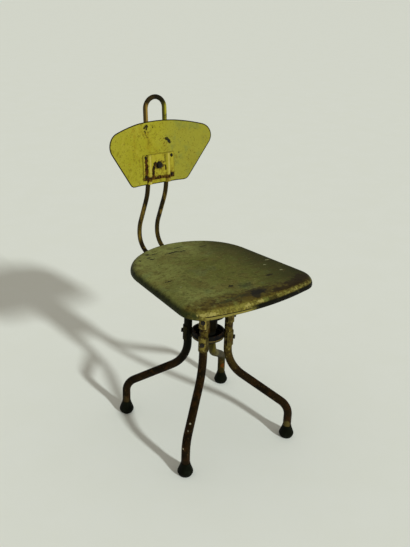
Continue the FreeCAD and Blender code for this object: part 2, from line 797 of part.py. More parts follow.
def carrier():
    """Rails welded under the seat, the carrier plate below them and the spindle flange."""
    rail_front = d.seat_front_reach - d.rail_front_gap
    rail_rear = seat_rear - d.rail_rear_gap
    for side, sign in (("left", 1), ("right", -1)):
        rail = new_body("seat_rail_" + side)
        half = d.rail_width / 2
        section = sketch_on(rail, "XZ_Plane", rail_front)
        outline(section, [
            (-half, carrier_top, 0), (-half, seat_underside, 0), (half, seat_underside, 0),
            (half, carrier_top, 0), (half - d.rail_sheet, carrier_top, 0),
            (half - d.rail_sheet, seat_underside - d.rail_sheet, 0),
            (-half + d.rail_sheet, seat_underside - d.rail_sheet, 0), (-half + d.rail_sheet, carrier_top, 0)])
        pad(rail, section, rail_front + rail_rear, reverse=True)
        place(rail, x=d.rail_spacing / 2 * sign)
    half_carrier = (d.rail_spacing + d.rail_width) / 2 + d.carrier_overhang
    carrier_front = d.flange_radius + d.carrier_front_margin
    plate = new_body("carrier_plate")
    shape = sketch_on(plate, "XY_Plane", carrier_base)
    rectangle(shape, -half_carrier, -carrier_front, half_carrier, carrier_rear, d.carrier_corner)
    circle(shape, 0, clamp_middle, d.hand_screw_diameter / 2 + d.body_gap)
    pad(plate, shape, d.carrier_thickness)
    flange_bolt_holes(plate, carrier_base, d.carrier_thickness)
    place(plate)
    journal_bore = journal_radius + d.running_fit
    journal_roof = carrier_base - d.journal_roof
    flange = turned_body("seat_flange", [
        (journal_bore, boss_base, 0), (boss_radius, boss_base, d.edge_round),
        (boss_radius, flange_base, d.flange_boss_round), (d.flange_radius, flange_base, d.edge_round),
        (d.flange_radius, carrier_base, 0), (0, carrier_base, 0), (0, journal_roof, 0),
        (journal_bore, journal_roof, 0)])
    flange_bolt_holes(flange, flange_base, d.flange_thickness)
    place(flange)
    bolts = new_body("flange_bolts")
    head = sketch_on(bolts, "XY_Plane", flange_base - d.flange_bolt_head)
    hexagon(head, flange_bolt_circle, as_size(0), d.flange_bolt_flats)
    head_pad = pad(bolts, head, d.flange_bolt_head)
    shank = sketch_on(bolts, "XY_Plane", flange_base)
    circle(shank, flange_bolt_circle, 0, d.flange_bolt_diameter / 2)
    shank_length = d.flange_thickness + d.carrier_thickness + d.flange_nut_height + d.bolt_tip
    shank_pad = pad(bolts, shank, shank_length)
    pattern_around(bolts, [head_pad, shank_pad], FLANGE_BOLTS)
    place(bolts)
    nuts = new_body("flange_nuts")
    profile = sketch_on(nuts, "XY_Plane", carrier_top)
    hexagon(profile, flange_bolt_circle, as_size(0), d.flange_bolt_flats)
    circle(profile, flange_bolt_circle, 0, d.flange_bolt_diameter / 2)
    nut_pad = pad(nuts, profile, d.flange_nut_height)
    pattern_around(nuts, [nut_pad], FLANGE_BOLTS)
    place(nuts)
    weld_nut = new_body("clamp_weld_nut")
    profile = sketch_on(weld_nut, "XY_Plane", carrier_top)
    hexagon(profile, as_size(0), clamp_middle, d.weld_nut_flats)
    circle(profile, 0, clamp_middle, d.hand_screw_diameter / 2 + d.running_fit)
    pad(weld_nut, profile, d.weld_nut_height)
    place(weld_nut)


def hairpin():
    """The bent rod: a half round loop at the top and two legs that run down and in under the seat."""
    body = new_body("back_hairpin")
    path = sketch_on(body, "YZ_Plane", rod_x)
    last_straight = (loop_height - straight_z) / cosine(d.rod_lean)
    bent_path(path, rod_front, rod_height, 0, rod_moves + [(last_straight, None)])
    section = sketch_on(body, "XZ_Plane", -rod_front)
    circle(section, rod_x, rod_height, rod_radius)
    rod = sweep(body, section, path)
    mirror(body, [rod], "YZ_Plane")
    loop_section = sketch_on(body, "XY_Plane")
    loop_section.AttachmentOffset = FreeCAD.Placement(
        Vector(0, 0, 0), FreeCAD.Rotation(Vector(1, 0, 0), -d.rod_lean.number))
    bind(loop_section, "AttachmentOffset.Base.y", rod_top_y)
    bind(loop_section, "AttachmentOffset.Base.z", loop_height)
    bind(loop_section, "AttachmentOffset.Rotation.Angle", -d.rod_lean)
    circle(loop_section, rod_x, 0, rod_radius)
    body.Tip = turn(body, loop_section, HALF_TURN, reverse=True)
    place(body)
    bar = new_body("rod_stop_bar")
    half_width = rod_x + rod_radius + d.stop_bar_overhang
    face = sketch_on(bar, "XZ_Plane", -rod_front)
    rectangle(face, -half_width, rod_height - rod_radius, half_width, rod_height + rod_radius,
              d.stop_bar_round)
    pad(bar, face, d.stop_bar_thickness)
    place(bar)


def place_on_back(body):
    """Put a body of the back at the middle of its clamp, in the leaning plane of the rods."""
    place(body, y=clamp_y, z=clamp_height, axis=(1, 0, 0), angle=-d.rod_lean)


def ridged_plate(label, web, ridge_centre, half_height, tongue, hole_height, hole_radius):
    """A stamped plate across both rods, with a half round ridge over each of them.

    The web lies between two depths, its free side first, and the ridges bulge past that side.
    """
    web_free, web_inner = web
    body = new_body(label)
    away = 1 if web_free.number > web_inner.number else -1
    section = sketch_on(body, "XY_Plane")
    rectangle(section, -plate_half_width, web_inner, plate_half_width, web_free)
    pad(body, section, half_height * 2, symmetric=True)
    ridges = sketch_on(body, "XY_Plane", -(half_height + tongue))
    for x in (rod_x, -rod_x):
        circle(ridges, x, ridge_centre, d.ridge_radius)
    pad(body, ridges, half_height * 2 + tongue)
    far = d.ridge_radius * 3 * away
    inner_side = sketch_on(body, "XY_Plane")
    rectangle(inner_side, -plate_half_width * 2, web_inner - far, plate_half_width * 2, web_inner)
    cut_through(body, inner_side)
    channels = sketch_on(body, "XY_Plane")
    for x in (rod_x, -rod_x):
        circle(channels, x, ridge_centre, d.ridge_radius - d.plate_sheet + d.channel_gap)
    cut_through(body, channels)
    hole = sketch_on(body, "XZ_Plane")
    circle(hole, 0, hole_height, hole_radius)
    cut_through(body, hole)
    return body


def back_plates():
    """The front and rear plates of the back's clamp, with the rivets of the front one."""
    hole_radius = d.back_bolt_diameter / 2 + d.bolt_clearance
    half_height = d.plate_height / 2
    front_free = panel_front - d.plate_sheet
    front = ridged_plate("back_front_plate", (front_free, panel_front), panel_front + d.plate_sheet,
                         half_height, d.ridge_tongue, d.back_bolt_offset, hole_radius)
    rivet_holes = sketch_on(front, "XZ_Plane")
    for x, z in rivet_places:
        circle(rivet_holes, x, z, d.rivet_diameter / 2)
    cut_through(front, rivet_holes)
    place_on_back(front)
    rear_inner = rear_plate_free - d.plate_sheet
    rear = ridged_plate("back_rear_plate", (rear_plate_free, rear_inner), as_size(0),
                        half_height, as_size(0), d.back_bolt_offset, hole_radius)
    place_on_back(rear)
    rivets = new_body("back_rivets")
    shank = sketch_on(rivets, "XZ_Plane", -panel_rear)
    for x, z in rivet_places:
        circle(shank, x, z, d.rivet_diameter / 2)
    pad(rivets, shank, d.panel_sheet + d.plate_sheet)
    for depth, reverse in ((-front_free, False), (-panel_rear, True)):
        heads = sketch_on(rivets, "XZ_Plane", depth)
        for x, z in rivet_places:
            circle(heads, x, z, d.rivet_head_radius)
        pad(rivets, heads, d.rivet_head_height, reverse=reverse)
    place_on_back(rivets)


def back_panel():
    """The sheet back: flat in the middle, bent forward at both wings, cut to a rounded outline."""
    strip = doc.addObject("PartDesign::Body", "back_panel_strip")
    wing = d.panel_wing_angle
    blank = d.panel_shoulder_x - d.panel_blank_inset
    bend_x = plate_half_width + d.panel_flat_margin + d.panel_bend_round * tangent(wing / 2)
    wing_front = panel_front - (blank - bend_x) * tangent(wing)
    rear_bend_x = bend_x + d.panel_sheet * tangent(wing / 2)
    tip_x = blank + d.panel_sheet * sine(wing)
    tip_y = wing_front + d.panel_sheet * cosine(wing)
    front_round = d.panel_bend_round
    rear_round = d.panel_bend_round + d.panel_sheet
    section = sketch_on(strip, "XY_Plane")
    outline(section, [
        (-blank, wing_front, 0), (-bend_x, panel_front, front_round), (bend_x, panel_front, front_round),
        (blank, wing_front, 0), (tip_x, tip_y, 0), (rear_bend_x, panel_rear, rear_round),
        (-rear_bend_x, panel_rear, rear_round), (-tip_x, tip_y, 0)])
    pad(strip, section, blank * 2, symmetric=True)
    holes = sketch_on(strip, "XZ_Plane")
    circle(holes, 0, d.back_bolt_offset, d.back_bolt_diameter / 2 + d.bolt_clearance)
    for x, z in rivet_places:
        circle(holes, x, z, d.rivet_diameter / 2)
    cut_through(strip, holes)
    shape = doc.addObject("PartDesign::Body", "back_panel_outline")
    face = sketch_on(shape, "XZ_Plane")
    side_lean = arctangent((d.panel_shoulder_x - d.panel_corner_x) / (d.panel_shoulder_z + d.panel_corner_z))
    top_sweep = fitted_sweep(
        d.panel_shoulder_x, d.panel_top_slope, d.panel_shoulder_round, side_lean, d.panel_sweep_gap)
    apex = d.panel_shoulder_z + d.panel_shoulder_x * tangent(d.panel_top_slope)
    outline(face, [
        (0, apex, top_sweep), (-d.panel_shoulder_x, d.panel_shoulder_z, d.panel_shoulder_round),
        (-d.panel_corner_x, -d.panel_corner_z, d.panel_corner_round),
        (d.panel_corner_x, -d.panel_corner_z, d.panel_corner_round),
        (d.panel_shoulder_x, d.panel_shoulder_z, d.panel_shoulder_round)])
    pad(shape, face, blank, symmetric=True)
    panel = doc.addObject("Part::Common", "back_panel")
    panel.Base = strip
    panel.Tool = shape
    panel.Label = "back_panel"
    nodes.append(panel)
    place_on_back(panel)


def back_fasteners():
    """The bolt through the back, its washer, and the wing nut behind the rear plate."""
    bolt_radius = d.back_bolt_diameter / 2
    washer_front = panel_front - d.plate_sheet - d.back_washer_thickness
    hub_front = rear_plate_free + d.body_gap
    bolt_end = hub_front + d.wing_hub_length + d.bolt_end
    bolt = new_body("back_bolt")
    head = sketch_on(bolt, "XZ_Plane", -washer_front)
    hexagon(head, as_size(0), d.back_bolt_offset, d.back_bolt_flats)
    pad(bolt, head, d.back_bolt_head)
    shank = sketch_on(bolt, "XZ_Plane", -bolt_end)
    circle(shank, 0, d.back_bolt_offset, bolt_radius)
    pad(bolt, shank, bolt_end - washer_front)
    place_on_back(bolt)
    washer = new_body("back_bolt_washer")
    face = sketch_on(washer, "XZ_Plane", -(washer_front + d.back_washer_thickness))
    circle(face, 0, d.back_bolt_offset, d.back_washer_radius)
    circle(face, 0, d.back_bolt_offset, bolt_radius)
    pad(washer, face, d.back_washer_thickness)
    place_on_back(washer)
    nut = new_body("back_wing_nut")
    hub_face = sketch_on(nut, "XZ_Plane", -hub_front)
    circle(hub_face, 0, d.back_bolt_offset, d.wing_hub_radius)
    pad(nut, hub_face, d.wing_hub_length, reverse=True)
    wings = sketch_on(nut, "XY_Plane", d.back_bolt_offset)
    half_span = d.wing_span / 2
    wing_root = hub_front + d.wing_offset / 2
    wing_base = hub_front + d.wing_offset
    wing_top = wing_base + d.wing_length
    hub_rear = hub_front + d.wing_hub_length
    outline(wings, [
        (-half_span, wing_base, d.wing_root_round), (-d.wing_thickness, wing_root, 0),
        (d.wing_thickness, wing_root, 0), (half_span, wing_base, d.wing_root_round),
        (half_span, wing_top, d.wing_tip_round), (d.wing_hub_radius, hub_rear, d.wing_root_round),
        (-d.wing_hub_radius, hub_rear, d.wing_root_round), (-half_span, wing_top, d.wing_tip_round)])
    pad(nut, wings, d.wing_thickness, symmetric=True)
    bore = sketch_on(nut, "XZ_Plane")
    circle(bore, 0, d.back_bolt_offset, bolt_radius + d.running_fit)
    cut_through(nut, bore)
    place_on_back(nut)


def rod_clamp():
    """The plate that presses the rods against the carrier, and its hand screw."""
    hole_radius = d.hand_screw_diameter / 2 + d.body_gap
    plate = ridged_plate("rod_clamp_plate", (d.plate_sheet, as_size(0)), as_size(0), d.clamp_length / 2,
                         as_size(0), as_size(0), hole_radius)
    place(plate, y=clamp_middle, z=rod_height, axis=(1, 0, 0), angle=-as_size(QUARTER_TURN))
    collar_top = rod_height - d.plate_sheet - d.body_gap
    collar_base = collar_top - d.hand_collar_height
    shank_radius = d.hand_screw_diameter / 2
    shank_top = carrier_top + d.weld_nut_height + d.bolt_tip
    screw = turned_body("rod_hand_screw", [
        (0, collar_base, 0), (d.hand_collar_radius, collar_base, d.hand_collar_round),
        (d.hand_collar_radius, collar_top, d.edge_round), (shank_radius, collar_top, 0),
        (shank_radius, shank_top, d.edge_round), (0, shank_top, 0)])
    wings = sketch_on(screw, "XZ_Plane")
    half_span = d.hand_wing_span / 2
    wing_base = collar_base - d.hand_wing_height
    waist = d.hand_collar_radius / 2
    waist_base = wing_base + d.hand_wing_height / 2
    wing_top = collar_base - d.hand_wing_sink
    wing_root = collar_base + d.hand_wing_sink
    outline(wings, [
        (-half_span, wing_base, d.hand_wing_round), (-waist, waist_base, d.hand_wing_round),
        (waist, waist_base, d.hand_wing_round), (half_span, wing_base, d.hand_wing_round),
        (half_span, wing_top, d.hand_wing_round), (waist, wing_root, 0), (-waist, wing_root, 0),
        (-half_span, wing_top, d.hand_wing_round)])
    pad(screw, wings, d.hand_wing_thickness, symmetric=True)
    place(screw, y=clamp_middle)


for number, side in enumerate(LEG_SIDES):
    azimuth = d.leg_azimuth + QUARTER_TURN * number
    leg(side, azimuth)
    foot(side, azimuth)
    saddle(side, azimuth, "lower", lower_saddle_base, d.lower_bolt_height)
    saddle(side, azimuth, "upper", upper_saddle_base, upper_bolt_height)
leg_bolts("lower", d.lower_bolt_height)
leg_bolts("upper", upper_bolt_height)
hub()
spindle()
seat_pan()
carrier()
rod_clamp()
hairpin()
back_panel()
back_plates()
back_fasteners()

doc.recompute()

# Nothing is written unless every object and every sub-part came out sound
failed = [item.Name for item in doc.Objects if "Invalid" in item.State or "Error" in item.State]
if failed:
    raise RuntimeError("these objects failed: " + ", ".join(failed))
for body in nodes:
    if body.Shape.isNull() or not body.Shape.isValid():
        raise RuntimeError(body.Label + " has no sound shape")

os.makedirs("parts", exist_ok=True)
for body in nodes:
    body.Shape.exportStep(os.path.join("parts", body.Label + ".step"))
    box = body.Shape.BoundBox
    print(f"{body.Label}: {len(body.Shape.Solids)} solids, {body.Shape.Volume:.0f} mm3, "
          f"x {box.XMin:.1f} {box.XMax:.1f}, y {box.YMin:.1f} {box.YMax:.1f}, z {box.ZMin:.1f} {box.ZMax:.1f}")
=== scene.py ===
"""Looks of the industrial chair: finishes, detailed sheet metal and fasteners, floor, light and camera.

The part's own frame: the chair faces -Y, its left side is +X and the floor is z = 0. Pieces and single spots
are written in millimetres. Places and heights inside the finishes are in metres.
"""

import math
from functools import reduce

import bmesh
import bpy
from mathutils import Matrix, Vector


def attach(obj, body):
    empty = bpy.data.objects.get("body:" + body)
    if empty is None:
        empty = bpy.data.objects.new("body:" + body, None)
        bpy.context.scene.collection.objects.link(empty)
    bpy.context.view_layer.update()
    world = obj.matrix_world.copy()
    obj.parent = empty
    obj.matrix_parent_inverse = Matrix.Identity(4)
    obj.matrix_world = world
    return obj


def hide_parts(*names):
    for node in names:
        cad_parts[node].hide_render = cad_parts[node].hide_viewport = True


MM = 0.001

# Base, in millimetres
SWIVEL_Y = -37.2156
LEG_AZIMUTH = 40.3
LEG_COUNT = 4
LEG_RADIUS = 10.65
HUB_CIRCLE = 52.85
SADDLE_SHEET = 2.5
LEG_BOLT_HEIGHTS = {"lower": 273.5, "upper": 335.6}
LEG_BOLT_FLATS = 11.0
LEG_BOLT_HEAD = 4.0
LEG_BOLT_RADIUS = 3.0
LEG_BOLT_TIP = 32.7
WASHER_FACE_RADIUS = 5.2
WASHER_FACE = 0.6
LEG_NUT_FLATS = 10.0
LEG_NUT_HEIGHT = 5.0
LEG_NUT_FACE = 34.2

# Spindle
SPINDLE_RADIUS = 12.0
SPINDLE_BASE = 262.0
SPINDLE_CHAMFER = 1.0
THREAD_START = 274.0
THREAD_PITCH = 6.0
THREAD_DEPTH = 1.8
THREAD_FADE = 4.0
THREAD_STEP = 0.5
SHOULDER = 402.7
THREAD_END = SHOULDER - 3.0
JOURNAL_RADIUS = 10.0
JOURNAL_TOP = 424.6

# The larger bolts, and those that hold the seat's flange under its carrier
BOLT_FLATS = 13.0
BOLT_RADIUS = 4.0
BOLT_TIP_RADIUS = 3.2
BOLT_TIP = 0.8
FLANGE_BOLTS = 4
FLANGE_CIRCLE = 34.0
FLANGE_BASE = 421.0
FLANGE_HEAD = 5.0
CARRIER_TOP = 431.0
FLANGE_BOLT_END = CARRIER_TOP + 8.5
FLANGE_NUT_HEIGHT = 6.5

# Seat: outline corners as x, y and radius, and the hem as inset, height over the edge and mark
SEAT_TOP = 455.3
SEAT_SHEET = 1.5
SEAT_EDGE_DEPTH = 22.0
SEAT_ROLL = 19.0
SEAT_OUTLINE = [
    (0.0, -219.5, 690.0), (195.7, -186.8, 56.0), (164.5, 141.8, 144.0),
    (0.0, 234.9, 196.0), (-164.5, 141.8, 144.0), (-195.7, -186.8, 56.0)]
SEAT_CENTRE = Vector((0.0, -15.0))
SEAT_HEM = [(0.0, 1.6, 0.95), (0.3, 0.6, 1.0), (1.0, 0.0, 1.0), (2.2, 0.0, 1.0), (2.9, 0.7, 1.0),
            (3.0, 1.6, 1.0), (2.9, 3.0, 1.0), (SEAT_SHEET, 3.4, 1.0)]

# Back: places are from the middle of its clamp, and the rim is inset, depth and mark
BACK_LEAN = 4.0
CLAMP_Y = 239.219
CLAMP_HEIGHT = 658.0
PANEL_FRONT = -8.3
PANEL_SHEET = 2.0
PANEL_BEND_X = 57.5
PANEL_BEND_ROUND = 80.0
PANEL_WING_ANGLE = 13.6
PANEL_OUTLINE = [
    (0.0, 135.0, 480.0), (-174.5, 86.6, 33.0), (-85.2, -44.9, 18.0), (85.2, -44.9, 18.0),
    (174.5, 86.6, 33.0)]
PANEL_CENTRE = Vector((0.0, 30.0))
PANEL_FLAT_INSET = 5.0
PANEL_RIM = [(PANEL_FLAT_INSET, 0.0, 0.0), (2.4, 0.0, 0.4), (1.7, 0.0, 0.9), (0.7, 0.1, 1.0),
             (0.15, 0.5, 1.0), (0.0, 1.0, 1.0), (0.15, 1.5, 1.0), (0.7, 1.9, 1.0), (1.7, 2.0, 0.9),
             (2.4, 2.0, 0.4), (PANEL_FLAT_INSET, 2.0, 0.0)]
PLATE_FRONT = -10.3
RIVET_X = 39.6
RIVET_UP = 25.0
RIVET_RADIUS = 3.6
RIVET_RISE = 1.8
RIVET_SHANK_RADIUS = 2.0
BOLT_UP = 3.4
BACK_WASHER = [(4.0, 0.0), (8.6, 0.0), (9.0, 0.3), (9.0, 0.9), (8.6, 1.2), (5.0, 1.6), (4.0, 1.6), (4.0, 0.0)]
BACK_WASHER_RISE = 1.6
BACK_BOLT_HEAD = 6.0
BACK_BOLT_LENGTH = 31.0

# Marks on the legs: centre, half size, raggedness, seed and grain of the rim, colour, roughness and strength
TUBE_SPOTS = [
    ((163, 94, 60), (7, 7, 9), 0.8, 2.0, 90.0, (80, 42, 8), 0.65, 0.8),
    ((158, 98, 78), (6, 7, 8), 0.8, 5.0, 90.0, (58, 38, 8), 0.65, 0.6),
    ((134, -211, 41), (10, 10, 11), 0.9, 4.0, 110.0, (84, 74, 36), 0.55, 0.6),
    ((-151, 124, 42), (10, 10, 10), 0.8, 4.0, 90.0, (62, 50, 24), 0.55, 0.4),
    ((-177.6, -181.1, 78.0), (2.6, 2.6, 2.2), 0.5, 7.8, 220.0, (136, 130, 108), 0.5, 0.9),
    ((-142.6, -159.7, 123.3), (2.4, 2.4, 2.6), 0.5, 12.33, 220.0, (136, 130, 108), 0.5, 0.9),
    ((-155.5, -169.7, 113.6), (2.2, 2.6, 5.0), 0.5, 11.36, 220.0, (136, 130, 108), 0.5, 0.35)]

# Marks on the seat's top, as x, y, half width, half depth and, for the dirt along its front, a seed
MARK_HEIGHT = 455
SEAT_DIRT = [(60, -226, 30, 9, 3.0), (112, -216, 34, 15, 1.0), (148, -204, 30, 20, 2.0),
             (128, -226, 34, 9, 5.0)]
SEAT_SMEARS = [(-96, -211, 16, 6), (-72, -208, 18, 7), (-42, -204, 14, 6), (5, -166, 18, 10)]
SEAT_SCRATCHES = [(-85, 117, 5, 4), (-91, 85, 7, 4), (-122, 93, 5, 4), (-92, 98, 8, 3),
                  (-134, -51, 10, 2.5), (-28, -150, 7, 5), (-22, 96, 22, 3), (6, 91, 16, 2.5),
                  (14, 118, 22, 2), (-66, 112, 12, 2.5), (92, -150, 11, 4), (74, 92, 14, 2)]
SEAT_CHIPS = [(140, -142, 5, 3), (154, -74, 7, 2.5), (126, -95, 4, 3), (-128, -92, 3, 2)]

# Painted highlights on the seat's front roll, as bright marks: centre, half size and seed
SEAT_HIGHLIGHTS = [((-168, -225, 446), (13, 10, 4), 6.0), ((-142, -231, 446), (12, 9, 3.5), 7.0),
               ((-50, -236, 448), (9, 9, 3.5), 8.0), ((-12, -238, 449), (10, 9, 3.5), 9.0)]

# Marks on the back, as x, height up the panel and half sizes. Those on the plate end with raggedness and seed
PANEL_CHIPS = [(-34, 104, 7, 4), (-39, 101, 3, 3.5), (-33, 99, 2.5, 5), (-37, 91, 2.5, 4),
               (-14, 101, 2.5, 1.5), (27, 68, 6, 4), (32, 64, 5, 5), (37, 59, 5, 5), (64, 29, 2.5, 2),
               (49.6, -50, 3, 2)]
# The plate's first two marks, beside a ridge, are painted shade.
PLATE_MARKS = [(20.5, -6, 2.2, 9, 0.5, 3.0, 200.0), (19.5, 18, 1.5, 15, 0.4, 3.0, 200.0),
               (40, 25, 5, 5, 0.6, 4.0, 200.0), (40, -25, 8, 7, 0.7, 5.0, 200.0),
               (-40, 27, 3.5, 4, 0.5, 6.0, 200.0), (-40, -24, 4.5, 8, 0.6, 7.0, 200.0),
               (-12, 7, 6, 6, 0.8, 8.0, 180.0), (-15.5, -3, 4.5, 7, 0.8, 9.0, 180.0),
               (-18, -14, 4, 8, 0.8, 10.0, 180.0)]

# A level direction towards the chair's left and front, for what differs round its hub
LEFT_AND_FRONT = (0.787, -0.617)

# How the names of each finish's CAD nodes start. Where two starts fit, the longer one counts
NODE_SLOTS = {
    "tube_brown": ["leg_"], "rubber_black": ["foot_"], "saddle_olive": ["saddle_"], "hub_olive": ["hub_"],
    "column_brown": ["hub_sleeve", "hub_collar"], "nut_bronze": ["spindle_nut", "thrust_"],
    "screw_steel": ["spindle_screw", "spindle_stop"], "seat_green": ["seat_pan"],
    "under_grey": ["seat_rail", "carrier", "seat_flange", "rod_clamp"],
    "rod_brown": ["back_hairpin", "rod_stop"], "back_mustard": ["back_panel", "back_rear"],
    "plate_mustard": ["back_front"],
    "fastener_dark": ["leg_bolts", "leg_nuts", "flange_", "clamp_weld", "rod_hand", "back_rivets",
                      "back_bolt", "back_wing"]}

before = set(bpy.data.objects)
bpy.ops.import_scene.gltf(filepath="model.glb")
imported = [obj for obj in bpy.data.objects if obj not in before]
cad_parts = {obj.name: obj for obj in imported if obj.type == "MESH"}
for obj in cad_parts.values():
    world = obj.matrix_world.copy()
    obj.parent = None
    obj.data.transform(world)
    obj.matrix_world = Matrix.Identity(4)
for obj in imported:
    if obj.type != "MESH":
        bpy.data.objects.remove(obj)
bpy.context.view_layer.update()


# Node materials

class Finish:
    """A procedural material, painted in layers over one colour.

    A quality that is the same all over stays a plain number and is set on the shader itself.
    """

    def __init__(self, name, colour, roughness, metallic=0.0, specular=0.05):
        self.material = bpy.data.materials.new(name)
        self.material.use_nodes = True
        self.nodes = self.material.node_tree.nodes
        self.links = self.material.node_tree.links
        self.shader = self.nodes["Principled BSDF"]
        self.shader.inputs["Specular IOR Level"].default_value = specular
        self.place = self.nodes.new("ShaderNodeTexCoord").outputs["Object"]
        separate = self.nodes.new("ShaderNodeSeparateXYZ")
        self.feed(separate.inputs[0], self.place)
        self.x, self.y, self.z = separate.outputs
        self.colour = linear(colour)
        self.roughness = roughness
        self.metallic = metallic
        self.height = None

    def feed(self, socket, value):
        """Link a socket, or set a plain number, vector or colour."""
        if isinstance(value, bpy.types.NodeSocket):
            self.links.new(value, socket)
        else:
            socket.default_value = value

    def math(self, operation, a, b):
        node = self.nodes.new("ShaderNodeMath")
        node.operation = operation
        self.feed(node.inputs[0], a)
        self.feed(node.inputs[1], b)
        return node.outputs[0]

    def vector(self, operation, a, b=(0.0, 0.0, 0.0)):
        node = self.nodes.new("ShaderNodeVectorMath")
        node.operation = operation
        self.feed(node.inputs[0], a)
        self.feed(node.inputs[1], b)
        return node.outputs["Value" if operation == "LENGTH" else "Vector"]

    def ramp(self, value, low, high):
        """A smooth step from 0 at low to 1 at high, which may also be the smaller of the two."""
        node = self.nodes.new("ShaderNodeMapRange")
        node.interpolation_type = "SMOOTHSTEP"
        for index, number in enumerate((value, low, high)):
            self.feed(node.inputs[index], number)
        return node.outputs[0]

    def between(self, value, low, start, end, high):
        """1 from start to end, fading to 0 at low and high."""
        return self.all(self.ramp(value, low, start), self.ramp(value, high, end))

    def noise(self, scale, detail=4.0, roughness=0.6, stretch=(1.0, 1.0, 1.0), seed=0.0):
        mapping = self.nodes.new("ShaderNodeMapping")
        self.feed(mapping.inputs["Vector"], self.place)
        mapping.inputs["Scale"].default_value = stretch
        mapping.inputs["Location"].default_value = (seed, seed * 0.7, seed * 1.3)
        node = self.nodes.new("ShaderNodeTexNoise")
        self.feed(node.inputs["Vector"], mapping.outputs[0])
        node.inputs["Scale"].default_value = scale
        node.inputs["Detail"].default_value = detail
        node.inputs["Roughness"].default_value = roughness
        return node.outputs["Fac"]

    def patches(self, scale, low, high, detail=4.0, roughness=0.6, stretch=(1.0, 1.0, 1.0), seed=0.0):
        """Ragged patches, where noise passes from low to high."""
        return self.ramp(self.noise(scale, detail, roughness, stretch, seed), low, high)

    def waver(self, value, amount, scale, detail=4.0, roughness=0.6, seed=0.0):
        """A value that noise shifts by up to half an amount either way."""
        noise = self.math("SUBTRACT", self.noise(scale, detail, roughness, seed=seed), 0.5)
        return self.math("ADD", value, self.math("MULTIPLY", noise, amount))

    def sloped(self, value, other, slope):
        return self.math("ADD", value, self.math("MULTIPLY", other, slope))

    def attribute(self, name):
        node = self.nodes.new("ShaderNodeAttribute")
        node.attribute_name = name
        return node.outputs["Fac"]

    def spot(self, centre, size, ragged=0.5, seed=0.0, grain=60.0):
        """1 inside an ellipsoid round centre, with a ragged rim. Centre and half sizes are in millimetres."""
        shifted = self.vector("SUBTRACT", self.place, [value * MM for value in centre])
        length = self.vector("LENGTH", self.vector("DIVIDE", shifted, [value * MM for value in size]))
        return self.ramp(self.waver(length, ragged * 3, grain, 3.0, seed=seed), 1.1, 0.75)

    def all(self, *masks):
        return reduce(lambda a, b: self.math("MULTIPLY", a, b), masks)

    def any(self, *masks):
        return reduce(lambda a, b: self.math("MAXIMUM", a, b), masks)

    def layer(self, mask, colour, roughness=None, metallic=None, height=None, amount=1.0):
        """Cover what the mask shows with another colour, roughness, metal or height in millimetres."""
        if amount != 1.0:
            mask = self.math("MULTIPLY", mask, amount)
        node = self.nodes.new("ShaderNodeMix")
        node.data_type = "RGBA"
        self.feed(node.inputs[0], mask)
        self.feed(node.inputs[6], self.colour)
        self.feed(node.inputs[7], linear(colour))
        self.colour = node.outputs[2]
        for quality, value in (("roughness", roughness), ("metallic", metallic), ("height", height)):
            if value is not None:
                node = self.nodes.new("ShaderNodeMix")
                self.feed(node.inputs[0], mask)
                self.feed(node.inputs[2], getattr(self, quality))
                self.feed(node.inputs[3], value)
                setattr(self, quality, node.outputs[0])

    def grain(self, scale, amount=1.0, detail=5.0, roughness=0.6):
        """The uneven surface under the layers, in millimetres."""
        self.height = self.math("MULTIPLY", self.noise(scale, detail, roughness), amount)

    def done(self, bump=1.0):
        self.feed(self.shader.inputs["Base Color"], self.colour)
        self.feed(self.shader.inputs["Roughness"], self.roughness)
        self.feed(self.shader.inputs["Metallic"], self.metallic)
        if self.height is not None:
            node = self.nodes.new("ShaderNodeBump")
            node.inputs["Strength"].default_value = bump
            node.inputs["Distance"].default_value = MM
            self.feed(node.inputs["Height"], self.height)
            self.feed(self.shader.inputs["Normal"], node.outputs[0])
        return self.material


def linear(colour):
    """Red, green and blue as they look on a screen, 0 to 255, as linear light and full cover."""
    return (*(((c / 255 + 0.055) / 1.055) ** 2.4 if c > 10 else c / 255 / 12.92 for c in colour), 1.0)


